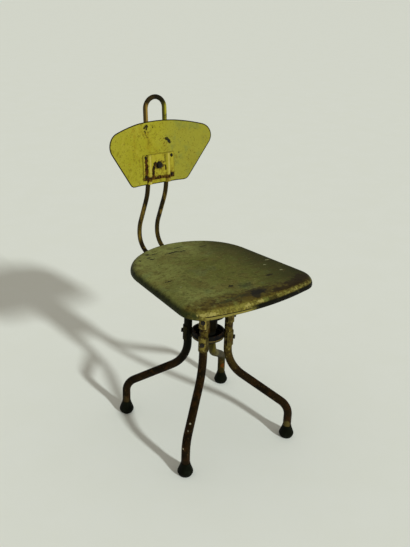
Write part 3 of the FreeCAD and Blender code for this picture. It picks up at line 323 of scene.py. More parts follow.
def tube_finish():
    """Dark brown worn tube, with olive paint left at the front legs' tops and all down the left rear leg."""
    f = Finish("tube_brown", (25, 16, 4), 0.48)
    f.grain(160.0, 1.0, 6.0, 0.7)
    f.layer(f.patches(26.0, 0.42, 0.62, 5.0), (14, 9, 3), 0.6)
    f.layer(f.patches(60.0, 0.52, 0.64, seed=3.0), (36, 20, 5), 0.5)
    f.layer(f.patches(150.0, 0.6, 0.68, seed=12.0), (60, 44, 18), 0.42, amount=0.6)
    high = f.waver(f.z, 0.09, 30.0, seed=7.0)
    front, rear = f.ramp(f.y, -0.032, -0.042), f.ramp(f.y, -0.042, -0.032)
    left, right = f.ramp(f.x, -0.005, 0.005), f.ramp(f.x, 0.005, -0.005)
    tops = f.any(f.all(right, f.ramp(high, 0.245, 0.272)), f.all(left, f.ramp(high, 0.185, 0.24)))
    painted = f.all(front, tops)
    f.layer(painted, (72, 61, 20), 0.55, amount=0.85)
    f.layer(f.all(painted, f.patches(95.0, 0.46, 0.58, seed=5.0)), (34, 24, 9), 0.6)
    f.layer(f.all(painted, f.patches(150.0, 0.58, 0.66, 3.0, seed=21.0)), (118, 106, 58), 0.5, amount=0.7)
    f.layer(f.all(right, rear, f.ramp(high, 0.18, 0.24)), (15, 17, 8), 0.55, amount=0.92)
    left_rear = f.all(left, rear)
    f.layer(f.all(left_rear, f.ramp(high, 0.02, 0.05)), (36, 31, 8), 0.55)
    f.layer(f.all(left_rear, f.between(high, 0.135, 0.165, 0.22, 0.25)), (66, 59, 12), 0.5)
    f.layer(f.all(left_rear, f.patches(70.0, 0.5, 0.62, seed=14.0)), (52, 42, 16), 0.55)
    f.layer(f.all(left_rear, f.patches(120.0, 0.6, 0.68, seed=24.0)), (100, 87, 26), 0.5, amount=0.45)
    f.layer(f.all(left_rear, f.ramp(f.z, 0.235, 0.25)), (26, 25, 13), 0.6)
    for place, size, ragged, seed, grain, colour, roughness, strength in TUBE_SPOTS:
        f.layer(f.spot(place, size, ragged, seed, grain), colour, roughness, amount=strength)
    f.layer(f.patches(240.0, 0.64, 0.72, 3.0, seed=9.0), (82, 64, 30), 0.4, amount=0.45)
    return f.done(0.35)


def saddle_finish():
    """Olive paint rubbed to tan on the clamps that hold the legs, darker on the front left leg's, with
    painted shade on the rear right leg's, away from the light, and on one flank of the front right leg's.
    """
    f = Finish("saddle_olive", (101, 90, 39), 0.5)
    f.grain(180.0)
    f.layer(f.ramp(f.z, 0.3, 0.312), (126, 111, 52), 0.5)
    f.layer(f.patches(55.0, 0.44, 0.6), (62, 52, 20), 0.6)
    f.layer(f.patches(120.0, 0.55, 0.65, seed=4.0), (34, 23, 9), 0.65)
    f.layer(f.patches(140.0, 0.6, 0.69, 3.0, seed=8.0), (132, 122, 74), 0.45)
    f.layer(f.patches(75.0, 0.6, 0.68, seed=18.0), (88, 46, 12), 0.65, amount=0.7)
    front, right = f.ramp(f.y, -0.04, -0.055), f.ramp(f.x, 0.0, -0.015)
    f.layer(f.all(f.ramp(f.x, 0.0, 0.015), front), (48, 40, 16), 0.6, amount=0.65)
    # Painted shade on the rear right leg's clamps, which face away from the light.
    f.layer(f.all(right, f.ramp(f.y, -0.04, -0.02)), (22, 23, 11), 0.6, amount=0.9)
    # Painted shade on the flank of the front right leg's clamps that faces the chair's left and front.
    f.layer(f.all(right, front, f.ramp(across_hub(f), 0.016, 0.019)), (34, 29, 12), 0.6, amount=0.8)
    return f.done(0.4)


def across_hub(f):
    """How far a point lies to the chair's left and front."""
    return f.sloped(f.math("MULTIPLY", f.x, LEFT_AND_FRONT[0]), f.y, LEFT_AND_FRONT[1])


def hub_finish():
    """The dark dishes, with a painted highlight in a brassy line round the lower wall and a reddish one round
    the rim.
    """
    f = Finish("hub_olive", (16, 14, 11), 0.5)
    f.grain(150.0)
    f.layer(f.patches(45.0, 0.45, 0.62), (9, 8, 9), 0.6)
    f.layer(f.patches(90.0, 0.6, 0.7, seed=4.0), (38, 31, 13), 0.5)
    # Painted highlights: a reddish line round the rim and a brassy line round the lower wall.
    rim = f.between(f.z, 0.2817, 0.2825, 0.285, 0.286)
    f.layer(f.all(rim, f.patches(80.0, 0.42, 0.56, seed=7.0)), (50, 31, 13), 0.45, amount=0.8)
    highlight_line = f.between(f.z, 0.2685, 0.2695, 0.2712, 0.2722)
    f.layer(f.all(highlight_line, f.patches(70.0, 0.3, 0.46, seed=2.0)), (92, 79, 37), 0.45, amount=0.85)
    return f.done(0.4)


def column_finish():
    """Gold brown paint on the hub's sleeve and collar, and black grease round their left half."""
    f = Finish("column_brown", (84, 62, 20), 0.45)
    f.grain(150.0)
    f.layer(f.patches(40.0, 0.45, 0.62, stretch=(1, 1, 0.3)), (46, 31, 11), 0.55)
    f.layer(f.patches(120.0, 0.58, 0.68, seed=2.0), (112, 88, 34), 0.45)
    greased = f.waver(across_hub(f), 0.008, 60.0, seed=8.0)
    f.layer(f.ramp(greased, 0.023, 0.029), (5, 4, 1), 0.5, amount=0.98)
    f.layer(f.ramp(f.z, 0.292, 0.278), (15, 14, 10), 0.6)
    return f.done(0.3)


def fastener_finish():
    """Dark steel, rusted brown in patches and rubbed bright in specks."""
    f = Finish("fastener_dark", (14, 12, 9), 0.42, 0.1, 0.25)
    f.grain(400.0)
    f.layer(f.patches(150.0, 0.5, 0.65), (38, 25, 11), 0.65, 0.0)
    f.layer(f.patches(260.0, 0.62, 0.7, 3.0, seed=6.0), (92, 84, 66), 0.38, 0.5, amount=0.35)
    return f.done(0.25)


def rubber_finish():
    """Black rubber feet, dusty near the floor."""
    f = Finish("rubber_black", (7, 9, 3), 0.55)
    f.grain(500.0)
    f.layer(f.patches(40.0, 0.48, 0.7), (15, 18, 10), 0.65)
    f.layer(f.patches(260.0, 0.66, 0.74, 3.0, seed=3.0), (48, 47, 34), 0.75, amount=0.5)
    f.layer(f.ramp(f.z, 0.004, 0.0), (34, 33, 26), 0.85)
    return f.done(0.2)


def screw_finish():
    """Greased steel screw: bright crests and brown grease in the thread."""
    f = Finish("screw_steel", (92, 84, 70), 0.36, 0.85, 0.5)
    f.grain(200.0)
    f.layer(f.patches(60.0, 0.48, 0.64), (54, 38, 22), 0.6, 0.3)
    f.layer(f.ramp(f.attribute("groove"), 0.2, 0.7), (34, 24, 12), 0.45, 0.1)
    return f.done(0.2)


def bronze_finish():
    """Bronze of the nut and the washer, dulled in patches."""
    f = Finish("nut_bronze", (110, 84, 40), 0.4, 0.8, 0.5)
    f.grain(200.0)
    f.layer(f.patches(80.0, 0.5, 0.66), (60, 45, 22), 0.6, 0.3)
    return f.done(0.2)


def under_finish():
    """Unseen steel under the seat: dull grey-green paint with rust."""
    f = Finish("under_grey", (56, 57, 32), 0.6)
    f.grain(120.0)
    f.layer(f.patches(20.0, 0.48, 0.62, 5.0), (38, 36, 22), 0.7)
    f.layer(f.patches(55.0, 0.58, 0.68, 5.0, seed=6.0), (70, 42, 18), 0.8)
    f.layer(f.patches(150.0, 0.64, 0.7, seed=3.0), (98, 94, 62), 0.5, amount=0.6)
    return f.done(0.4)


def rod_finish():
    """Bent rod: brown with tan streaks, rubbed bright with painted highlights up both sides of its loop, with
    painted shade on each rod's half towards the chair's right there, and darkest round its top.
    """
    f = Finish("rod_brown", (40, 31, 9), 0.38, 0.0, 0.08)
    f.grain(200.0)
    f.layer(f.ramp(f.z, 0.53, 0.48), (62, 50, 12), 0.42, amount=0.8)
    f.layer(f.patches(30.0, 0.42, 0.6, stretch=(1, 1, 0.4)), (26, 19, 6), 0.5)
    f.layer(f.patches(80.0, 0.52, 0.66, stretch=(1, 1, 0.16), seed=3.0), (98, 79, 27), 0.36, amount=0.85)
    f.layer(f.patches(190.0, 0.58, 0.68, seed=8.0), (36, 25, 10), 0.55, amount=0.8)
    above = f.ramp(f.z, 0.765, 0.78)
    # Rubbed paint and painted highlights up both sides of the loop.
    rubbed_and_highlit = f.all(above, f.patches(60.0, 0.32, 0.5, seed=5.0))
    f.layer(f.all(rubbed_and_highlit, f.ramp(f.x, 0.0, -0.012)), (120, 96, 42), 0.4)
    f.layer(f.all(rubbed_and_highlit, f.ramp(f.x, 0.0, 0.012)), (128, 122, 32), 0.42)
    # Painted shade on the half of each rod of the loop towards the chair's right.
    shaded = f.any(f.ramp(f.x, -0.0295, -0.0315), f.between(f.x, 0.0, 0.001, 0.025, 0.027))
    f.layer(f.all(above, shaded), (26, 20, 8), 0.45, amount=0.8)
    f.layer(f.ramp(f.z, 0.806, 0.824), (14, 11, 5), 0.45, amount=0.92)
    return f.done(0.25)


def seat_finish():
    """Worn grey-green paint, browned in front, rubbed to brass with painted highlights on the front roll,
    dark on the skirt, with painted shade round its sides, along the far edges and in the crease above the
    front hem.
    """
    f = Finish("seat_green", (88, 91, 38), 0.55)
    f.grain(90.0, 0.6, 6.0, 0.65)
    roll = f.attribute("roll")
    seat_top(f)
    forward = f.waver(f.y, 0.07, 24.0, 5.0, 0.7)
    seat_front(f, forward)
    seat_edges(f, roll, forward)
    seat_roll(f, roll, forward)
    seat_marks(f)
    seat_hem(f)
    f.layer(f.ramp(roll, 0.975, 0.995), (34, 33, 17), 0.6, amount=0.5)
    return f.done(0.35)


def seat_top(f):
    """Mottled paint, lighter behind and to the right and dull towards the left side."""
    light = f.ramp(f.waver(f.x, 0.16, 9.0), 0.0, -0.16)
    behind = f.all(f.ramp(f.y, 0.0, 0.12), f.ramp(f.x, 0.13, 0.07))
    f.layer(f.any(light, behind), (123, 127, 68), 0.52, amount=0.9)
    f.layer(f.patches(10.0, 0.46, 0.62, 6.0, 0.7, seed=3.0), (76, 79, 34), 0.55, amount=0.55)
    f.layer(f.patches(22.0, 0.48, 0.6, 6.0, 0.7, seed=2.0), (96, 84, 40), 0.5, amount=0.45)
    f.layer(f.patches(18.0, 0.56, 0.68, 5.0, seed=11.0), (88, 100, 60), 0.52, amount=0.4)
    f.layer(f.patches(130.0, 0.54, 0.61, 6.0, 0.8, seed=53.0), (124, 124, 68), 0.52, amount=0.45)
    f.layer(f.ramp(f.waver(f.x, 0.1, 12.0, seed=9.0), 0.03, 0.15), (42, 42, 16), 0.55, amount=0.86)
    f.layer(f.patches(45.0, 0.54, 0.66, 6.0, 0.7, seed=15.0), (58, 53, 22), 0.55, amount=0.6)
    f.layer(f.patches(70.0, 0.54, 0.66, 6.0, 0.75, (1, 3.2, 1), 4.0), (58, 57, 26), 0.55, amount=0.55)
    f.layer(f.patches(120.0, 0.58, 0.68, 6.0, 0.75, (0.5, 3.0, 1), 6.0), (126, 124, 74), 0.5, amount=0.45)
    f.layer(f.patches(260.0, 0.62, 0.69, 4.0, 0.7, seed=31.0), (44, 41, 17), 0.55, amount=0.6)
    f.layer(f.patches(34.0, 0.53, 0.6, 6.0, 0.78, (1, 2.2, 1), 43.0), (70, 58, 24), 0.55, amount=0.5)
    f.layer(f.patches(150.0, 0.53, 0.6, 6.0, 0.8, seed=47.0), (62, 62, 26), 0.55, amount=0.45)
    f.layer(f.ramp(f.waver(f.x, 0.06, 18.0, seed=19.0), 0.14, 0.18), (32, 32, 12), 0.55, amount=0.75)


def seat_front(f, forward):
    """Brown wear and dirt along the top's front, with a dark patch in its middle."""
    slanted = f.sloped(forward, f.x, 0.12)
    f.layer(f.all(f.ramp(slanted, -0.178, -0.212), f.patches(45.0, 0.26, 0.52, 5.0, seed=5.0)),
            (76, 62, 20), 0.52, amount=0.85)
    f.layer(f.all(f.ramp(slanted, -0.165, -0.205), f.patches(80.0, 0.48, 0.6, 5.0, 0.7, seed=25.0)),
            (44, 35, 13), 0.5, amount=0.75)
    for x, y, wide, deep, seed in SEAT_DIRT:
        f.layer(f.spot((x, y, MARK_HEIGHT), (wide, deep, 14), 0.8, seed, 90.0), (32, 23, 9), 0.5, amount=0.8)
    f.layer(f.spot((2, -206, MARK_HEIGHT), (36, 22, 12), 0.9, 4.0, 60.0), (50, 42, 16), 0.45, amount=0.8)
    f.layer(f.spot((5, -210, MARK_HEIGHT), (22, 13, 12), 0.7, 1.0, 90.0), (16, 15, 9), 0.42, amount=0.92)
    f.layer(f.spot((-12, -226, MARK_HEIGHT), (13, 10, 12), 0.6, 1.6, 110.0), (32, 28, 14), 0.45, amount=0.9)
    for x, y, wide, deep in SEAT_SMEARS:
        smear = f.spot((x, y, MARK_HEIGHT), (wide, deep, 6), 0.95, x * 0.1, 160.0)
        f.layer(smear, (42, 48, 24), 0.5, amount=0.6)


def seat_edges(f, roll, forward):
    """Painted shade: a dark edge along the roll at the left and behind, and the skirt round the sides
    darkened to dark green, with mottled patches.
    """
    # Painted shade along the top of the roll at the left and behind.
    left = f.all(f.ramp(f.x, 0.02, 0.08), f.ramp(forward, -0.215, -0.19))
    far = f.any(left, f.ramp(f.y, 0.1, 0.15))
    f.layer(f.all(far, f.ramp(roll, 0.12, 0.42)), (32, 31, 13), 0.55, amount=0.85)
    # Painted shade on the skirt round the sides, mottled.
    side = f.all(f.ramp(f.waver(roll, 0.3, 40.0, seed=8.0), 0.27, 0.6), f.ramp(forward, -0.235, -0.205))
    f.layer(side, (42, 46, 20), 0.5)
    f.layer(f.all(side, f.patches(60.0, 0.48, 0.64, 5.0, seed=2.0)), (28, 31, 14), 0.55)
    f.layer(f.all(side, f.patches(160.0, 0.6, 0.68, seed=22.0)), (66, 67, 30), 0.5, amount=0.5)


def seat_roll(f, roll, forward):
    """The front roll, rubbed to brass in a streaked and broken band with a painted highlight along it and
    painted highlight spots, and the skirt's black left part.
    """
    front = f.ramp(forward, -0.2, -0.226)
    band = f.all(front, f.between(roll, 0.2, 0.42, 0.8, 0.95))
    f.layer(f.all(band, f.ramp(f.x, 0.03, -0.05), f.patches(75.0, 0.34, 0.54, 6.0, 0.75, seed=1.0)),
            (112, 103, 42), 0.42)
    narrow = f.all(front, f.between(roll, 0.24, 0.36, 0.48, 0.62))
    f.layer(f.all(narrow, f.patches(60.0, 0.4, 0.56, 6.0, 0.75, seed=17.0)),
            (106, 101, 44), 0.42, amount=0.88)
    # A painted highlight in brassy specks along the middle of the roll.
    brassy_highlight = f.all(front, f.between(roll, 0.3, 0.44, 0.66, 0.8))
    f.layer(f.all(brassy_highlight, f.patches(110.0, 0.52, 0.62, 5.0, 0.7, seed=41.0)),
            (136, 128, 68), 0.38, amount=0.8)
    f.layer(f.all(band, f.patches(60.0, 0.5, 0.6, 5.0, 0.7, (3.2, 0.7, 0.7), 61.0)),
            (68, 54, 18), 0.5, amount=0.65)
    f.layer(f.all(front, f.ramp(roll, 0.15, 0.3), f.patches(130.0, 0.54, 0.64, 5.0, 0.7, seed=37.0)),
            (46, 37, 13), 0.55, amount=0.85)
    middle = f.between(f.x, -0.03, -0.012, 0.035, 0.06)
    f.layer(f.all(band, middle, f.patches(62.0, 0.44, 0.54, 6.0, 0.75, seed=71.0)),
            (34, 31, 12), 0.5, amount=0.8)
    f.layer(f.all(band, f.patches(210.0, 0.5, 0.57, 6.0, 0.8, seed=73.0)), (58, 54, 16), 0.5, amount=0.6)
    low = f.all(front, f.ramp(roll, 0.5, 0.62), f.ramp(f.waver(f.x, 0.07, 24.0, 5.0, 0.7), -0.055, -0.02))
    f.layer(low, (12, 11, 6), 0.5)
    f.layer(f.all(low, f.patches(60.0, 0.56, 0.66, 5.0, seed=13.0)), (40, 40, 17), 0.5, amount=0.8)
    # Painted highlight spots on the roll.
    for place, size, seed in SEAT_HIGHLIGHTS:
        f.layer(f.spot(place, size, 0.95, seed, 160.0), (132, 123, 66), 0.36, amount=0.85)
    f.layer(f.spot((2, -238, 448), (10, 8, 5), 0.8, 4.0, 130.0), (74, 82, 34), 0.5, amount=0.5)


def seat_marks(f):
    """Dark scratches and a few pale chips on the top."""
    for x, y, wide, deep in SEAT_SCRATCHES:
        scratch = f.spot((x, y, MARK_HEIGHT), (wide, deep, 4), 0.9, x * 0.1, 200.0)
        f.layer(scratch, (32, 29, 12), 0.5, height=0.1)
    for x, y, wide, deep in SEAT_CHIPS:
        chip = f.spot((x, y, MARK_HEIGHT), (wide, deep, 4), 0.9, y * 0.1, 200.0)
        f.layer(chip, (136, 136, 100), 0.4, amount=0.65)


def seat_hem(f):
    """The folded hem along the front's right half, under a crease of painted shade that drops to the left."""
    along = f.all(f.between(f.x, -0.163, -0.156, -0.05, -0.036), f.ramp(f.y, -0.18, -0.2))
    height = f.sloped(f.z, f.x, 0.016)
    hem = f.all(along, f.ramp(height, 0.4386, 0.4381))
    f.layer(hem, (108, 99, 46), 0.42)
    f.layer(f.all(hem, f.patches(90.0, 0.54, 0.64, seed=27.0)), (66, 58, 24), 0.5, amount=0.8)
    # Painted shade in the crease above the hem.
    crease = f.between(height, 0.4376, 0.4383, 0.4393, 0.4402)
    f.layer(f.all(along, crease), (14, 11, 5), 0.6, height=-0.6)


def back_finish():
    """Mustard paint, freckled and chipped to dark metal, with a dark worn rim and painted shade over its left
    half.
    """
    f = Finish("back_mustard", (127, 121, 27), 0.5, specular=0.07)
    f.grain(120.0, 0.5)
    f.layer(f.patches(14.0, 0.4, 0.66, 5.0), (134, 128, 36), 0.5)
    f.layer(f.patches(60.0, 0.52, 0.68, 5.0, seed=2.0), (138, 129, 40), 0.46, amount=0.6)
    f.layer(f.patches(24.0, 0.52, 0.64, 5.0, 0.7, seed=18.0), (120, 102, 18), 0.52, amount=0.6)
    f.layer(f.patches(90.0, 0.54, 0.62, 5.0, 0.7, seed=8.0), (98, 88, 18), 0.52, amount=0.65)
    # Painted shade: a duller, greener tone over the panel's left half.
    f.layer(f.ramp(f.x, -0.005, 0.06), (120, 116, 40), 0.54, amount=0.7)
    f.layer(f.all(f.ramp(f.x, -0.02, 0.05), f.patches(32.0, 0.5, 0.64, 5.0, 0.7, seed=28.0)),
            (104, 106, 44), 0.54, amount=0.6)
    f.layer(f.patches(330.0, 0.6, 0.67, 3.0, seed=5.0), (78, 66, 12), 0.55, amount=0.75)
    f.layer(f.patches(180.0, 0.66, 0.7, seed=33.0), (52, 42, 12), 0.55, amount=0.8)
    below_chips = f.spot(on_back(-34, 88), (11, 12, 17), 0.5, 5.0, 120.0)
    f.layer(f.all(below_chips, f.patches(260.0, 0.5, 0.6, seed=3.0)), (76, 64, 14), 0.55, amount=0.85)
    beside_chips = f.spot(on_back(20, 58), (18, 12, 24), 0.5, 9.0, 120.0)
    f.layer(f.all(beside_chips, f.patches(220.0, 0.54, 0.64, seed=13.0)), (84, 66, 14), 0.55, amount=0.8)
    for x, up, wide, tall in PANEL_CHIPS:
        f.layer(f.spot(on_back(x, up), (wide, 9, tall), 0.9, x * 0.1, 260.0), (38, 33, 12), 0.55, height=-0.1)
    f.layer(f.spot(on_back(33, 62), (4.5, 9, 4), 0.8, 2.0, 260.0), (24, 27, 24), 0.5)
    f.layer(f.spot(on_back(-109, 8), (8, 9, 6), 0.6, 3.0), (112, 84, 16), 0.5, amount=0.6)
    f.layer(f.spot(on_back(-92, 20), (14, 9, 12), 0.8, 7.0), (120, 98, 20), 0.5, amount=0.5)
    round_plate = f.spot(on_back(0, -4), (62, 12, 46), 0.6, 11.0, 70.0)
    f.layer(f.all(round_plate, f.patches(130.0, 0.5, 0.62, 5.0, seed=29.0)), (98, 82, 16), 0.55, amount=0.6)
    f.layer(f.ramp(f.waver(f.attribute("rim"), 0.5, 140.0, seed=38.0), 0.25, 0.6), (26, 21, 9), 0.55)
    return f.done(0.3)


def plate_finish():
    """The front plate: mustard paint with painted highlights on its ridges, rust and painted shade along its
    edges and beside its ridges, and rust round its bolt.
    """
    f = Finish("plate_mustard", (136, 127, 34), 0.46, specular=0.08)
    f.grain(120.0, 0.5)
    f.layer(f.patches(60.0, 0.48, 0.64, 5.0, seed=2.0), (108, 95, 18), 0.52, amount=0.6)
    f.layer(f.patches(150.0, 0.58, 0.67, 5.0, seed=12.0), (74, 56, 12), 0.55, amount=0.5)
    across = f.waver(f.x, 0.014, 120.0, seed=6.0)
    up = f.waver(f.z, 0.014, 120.0, seed=6.0)
    # Painted highlights along the ridges' crests.
    for x in (-0.0275, 0.0295):
        crest = f.between(f.x, x - 0.004, x - 0.001, x + 0.001, x + 0.004)
        f.layer(f.all(crest, f.patches(90.0, 0.3, 0.5, seed=3.0)), (156, 143, 68), 0.38, amount=0.8)
    # Rust, with painted shade in the gap along the plate's bottom and in the strips beside its ridges.
    rust_and_shade = (62, 36, 8)
    bottom = f.between(up, 0.6215, 0.6245, 0.632, 0.637)
    left = f.between(across, -0.0435, -0.0415, -0.0355, -0.0335)
    valley = f.between(across, -0.0225, -0.0195, -0.0155, -0.0125)
    f.layer(f.all(valley, f.between(up, 0.63, 0.636, 0.65, 0.66)), rust_and_shade, 0.7)
    f.layer(bottom, rust_and_shade, 0.75, amount=0.95)
    f.layer(f.all(left, f.ramp(up, 0.688, 0.68)), rust_and_shade, 0.75)
    f.layer(f.all(f.any(bottom, left), f.patches(170.0, 0.46, 0.56, seed=9.0)), (26, 14, 5), 0.75)
    # Dark marks round the rivets and the bolt, the first two being painted shade beside a ridge.
    f.layer(f.any(*(f.spot(on_back(x, high), (wide, 12, tall), ragged, seed, grain)
                    for x, high, wide, tall, ragged, seed, grain in PLATE_MARKS)), (26, 17, 6), 0.6)
    f.layer(f.spot(on_back(2, 3), (15, 12, 11), 0.85, 8.0, 200.0), (62, 41, 10), 0.55, amount=0.9)
    f.layer(f.all(f.ramp(up, 0.66, 0.64), f.patches(110.0, 0.5, 0.6, seed=19.0)),
            (84, 60, 12), 0.6, amount=0.6)
    edge = f.any(f.ramp(f.x, 0.0455, 0.047), f.ramp(f.z, 0.689, 0.6905), f.ramp(f.x, -0.0445, -0.046))
    f.layer(edge, (70, 58, 14), 0.55, amount=0.5)
    return f.done(0.3)


# Mesh helpers

class Shell:
    """A mesh that is skinned ring by ring. Rings are lists of points in millimetres."""

    def __init__(self):
        self.vertices = []
        self.faces = []
        self.marks = []

    def ring(self, points, mark=0.0):
        first = len(self.vertices)
        self.vertices.extend(Vector(point) * MM for point in points)
        self.marks.extend(mark if isinstance(mark, list) else [mark] * len(points))
        return list(range(first, len(self.vertices)))

    def join(self, a, b):
        for i in range(len(a)):
            j = (i + 1) % len(a)
            self.faces.append((a[i], a[j], b[j], b[i]))

    def cap(self, ring, centre, flip=False):
        middle = self.ring([centre], self.marks[ring[0]])[0]
        for i, vertex in enumerate(ring):
            following = ring[(i + 1) % len(ring)]
            self.faces.append((following, vertex, middle) if flip else (vertex, following, middle))

    def skin(self, rings, marks=None, start=None, end=None, at=None):
        """Join rings one after another, with a fan to start and end where these points are given."""
        at = at or Matrix.Identity(4)
        marks = marks or [0.0] * len(rings)
        indices = [self.ring([at @ Vector(point) for point in ring], mark)
                   for ring, mark in zip(rings, marks)]
        for a, b in zip(indices, indices[1:]):
            self.join(a, b)
        if start is not None:
            self.cap(indices[0], at @ Vector(start), flip=True)
        if end is not None:
            self.cap(indices[-1], at @ Vector(end))

    def solid(self, rings, at):
        """Rings round the Z axis with a flat end at the first and the last."""
        self.skin(rings, start=(0, 0, rings[0][0][2]), end=(0, 0, rings[-1][0][2]), at=at)

    def piece(self, name, body, replaces, slot, mark_name=None, sharp=35.0):
        """Make the object that replaces CAD nodes on a body, with the finish of its slot."""
        mesh = bpy.data.meshes.new(name)
        mesh.from_pydata(self.vertices, [], self.faces)
        if mark_name:
            marks = mesh.attributes.new(mark_name, "FLOAT", "POINT")
            marks.data.foreach_set("value", self.marks)
        build = bmesh.new()
        build.from_mesh(mesh)
        bmesh.ops.recalc_face_normals(build, faces=build.faces)
        build.to_mesh(mesh)
        build.free()
        mesh.materials.append(finishes[slot])
        mesh.shade_smooth()
        mesh.set_sharp_from_angle(angle=math.radians(sharp))
        piece = bpy.data.objects.new(name, mesh)
        bpy.context.scene.collection.objects.link(piece)
        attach(piece, body)
        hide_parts(*replaces)


def turned(profile, steps=48):
    """Rings of a profile of radius and height about the Z axis."""
    return [[(radius * math.cos(math.tau * i / steps), radius * math.sin(math.tau * i / steps), height)
             for i in range(steps)] for radius, height in profile]


def hexagon_rings(flats, low, high, chamfer_low=False, chamfer_high=True, steps=72):
    """Rings of a hexagon head or nut whose corners are turned off, as on a real one."""
    inner = flats / 2 * 0.96
    angles = [math.tau * i / steps for i in range(steps)]
    reach = [flats / 2 / math.cos((angle + math.pi / 6) % (math.pi / 3) - math.pi / 6) for angle in angles]
    slope = math.tan(math.radians(30.0))

    def ring(radii, heights):
        return [(r * math.cos(a), r * math.sin(a), h) for r, a, h in zip(radii, angles, heights)]

    rings = []
    if chamfer_low:
        rings.append(ring([inner] * steps, [low] * steps))
        rings.append(ring(reach, [low + (r - inner) * slope for r in reach]))
    else:
        rings.append(ring(reach, [low] * steps))
    if chamfer_high:
        rings.append(ring(reach, [high - (r - inner) * slope for r in reach]))
        rings.append(ring([inner] * steps, [high] * steps))
    else:
        rings.append(ring(reach, [high] * steps))
    return rings


def rounded_outline(corners, spacing):
    """Points and outward normals round an outline of corners x, y and radius, taken clockwise or not."""
    area = sum(a[0] * b[1] - b[0] * a[1] for a, b in zip(corners, corners[1:] + corners[:1]))
    corners = corners if area > 0 else corners[::-1]
    result = []
    for before, (x, y, radius), after in zip(corners[-1:] + corners[:-1], corners, corners[1:] + corners[:1]):
        corner = Vector((x, y))
        into = (corner - Vector(before[:2])).normalized()
        out = (Vector(after[:2]) - corner).normalized()
        bend = math.acos(max(-1.0, min(1.0, into.dot(out))))
        tangent = radius * math.tan(bend / 2)
        start = corner - into * tangent
        middle = start + Vector((-into.y, into.x)) * radius
        steps = max(2, round(radius * bend / spacing))
        for step in range(steps + 1):
            heading = math.atan2(into.y, into.x) + bend * step / steps
            normal = Vector((math.sin(heading), -math.cos(heading)))
            result.append((middle + normal * radius, normal))
    filled = []
    for (point, normal), (ahead, ahead_normal) in zip(result, result[1:] + result[:1]):
        filled.append((point, normal))
        gap = (ahead - point).length
        if (ahead_normal - normal).length < 1e-6 and gap > spacing * 1.5:
            parts = round(gap / spacing)
            filled.extend((point.lerp(ahead, part / parts), normal) for part in range(1, parts))
    return filled


def smooth(value):
    value = max(0.0, min(1.0, value))
    return value * value * (3 - 2 * value)


def radial(azimuth, height, out):
    """Local Z points out from the swivel axis at azimuth."""
    angle = math.radians(azimuth)
    direction = Vector((math.cos(angle), math.sin(angle), 0))
    sideways = Vector((-math.sin(angle), math.cos(angle), 0))
    matrix = Matrix((sideways, Vector((0, 0, 1)), direction)).transposed().to_4x4()
    matrix.translation = direction * out + Vector((0, SWIVEL_Y, height))
    return matrix


def back_matrix():
    """Local x across, y along the chair and z up the leaning back, from the middle of its clamp."""
    matrix = Matrix.Rotation(math.radians(-BACK_LEAN), 4, "X")
    matrix.translation = Vector((0, CLAMP_Y + SWIVEL_Y, CLAMP_HEIGHT))
    return matrix


def on_back(x, up):
    """A point of the panel's front face, in millimetres."""
    return tuple(back_matrix() @ Vector((x, PANEL_FRONT, up)))


# Detailed pieces

def seat_pan():
    """The pressed seat: flat top, rolled edge, skirt with a folded hem, and its underside."""
    outline = rounded_outline(SEAT_OUTLINE, 6.0)

    def inset(amount, height):
        return [(point.x - normal.x * amount, point.y - normal.y * amount + SWIVEL_Y, height)
                for point, normal in outline]

    def shrunk(share, height):
        ring = []
        for point, normal in outline:
            flat = SEAT_CENTRE + (point - normal * SEAT_ROLL - SEAT_CENTRE) * share
            ring.append((flat.x, flat.y + SWIVEL_Y, height))
        return ring

    def rolled(step, sheet):
        """One ring of the roll, counted from the top, as far inside its outer face as sheet says."""
        angle = math.pi / 2 * step / steps
        radius = SEAT_ROLL - sheet
        return inset(sheet + radius * (1 - math.sin(angle)),
                     SEAT_TOP - sheet - radius * (1 - math.cos(angle)))

    steps = 10
    shares = (0.08, 0.2, 0.32, 0.44, 0.56, 0.68, 0.78, 0.86, 0.93)
    rings = [(shrunk(share, SEAT_TOP), 0.0) for share in shares]
    rings += [(rolled(step, 0.0), 0.05 + 0.75 * step / steps) for step in range(steps + 1)]
    rings += [(inset(amount, SEAT_TOP - SEAT_EDGE_DEPTH + height), mark) for amount, height, mark in SEAT_HEM]
    rings += [(rolled(step, SEAT_SHEET), 1.0) for step in range(steps, -1, -1)]
    rings += [(shrunk(share, SEAT_TOP - SEAT_SHEET), 1.0) for share in (0.86, 0.6, 0.3)]
    middle = (SEAT_CENTRE.x, SEAT_CENTRE.y + SWIVEL_Y)
    shell = Shell()
    shell.skin(*zip(*rings), start=(*middle, SEAT_TOP), end=(*middle, SEAT_TOP - SEAT_SHEET))
    shell.piece("seat_sheet", "seat", ["seat_pan"], "seat_green", "roll", 60.0)


def panel_depth(x):
    """How far the panel's front face stands behind its flat middle, and how it is turned, at x."""
    wing = math.radians(PANEL_WING_ANGLE)
    flat = PANEL_BEND_X - PANEL_BEND_ROUND * math.tan(wing / 2)
    bent = flat + PANEL_BEND_ROUND * math.sin(wing)
    across = abs(x)
    if across <= flat:
        return 0.0, 0.0
    if across < bent:
        turn = math.asin((across - flat) / PANEL_BEND_ROUND)
        return -PANEL_BEND_ROUND * (1 - math.cos(turn)), math.copysign(turn, x)
    ahead = PANEL_BEND_ROUND * (1 - math.cos(wing)) + (across - bent) * math.tan(wing)
    return -ahead, math.copysign(wing, x)


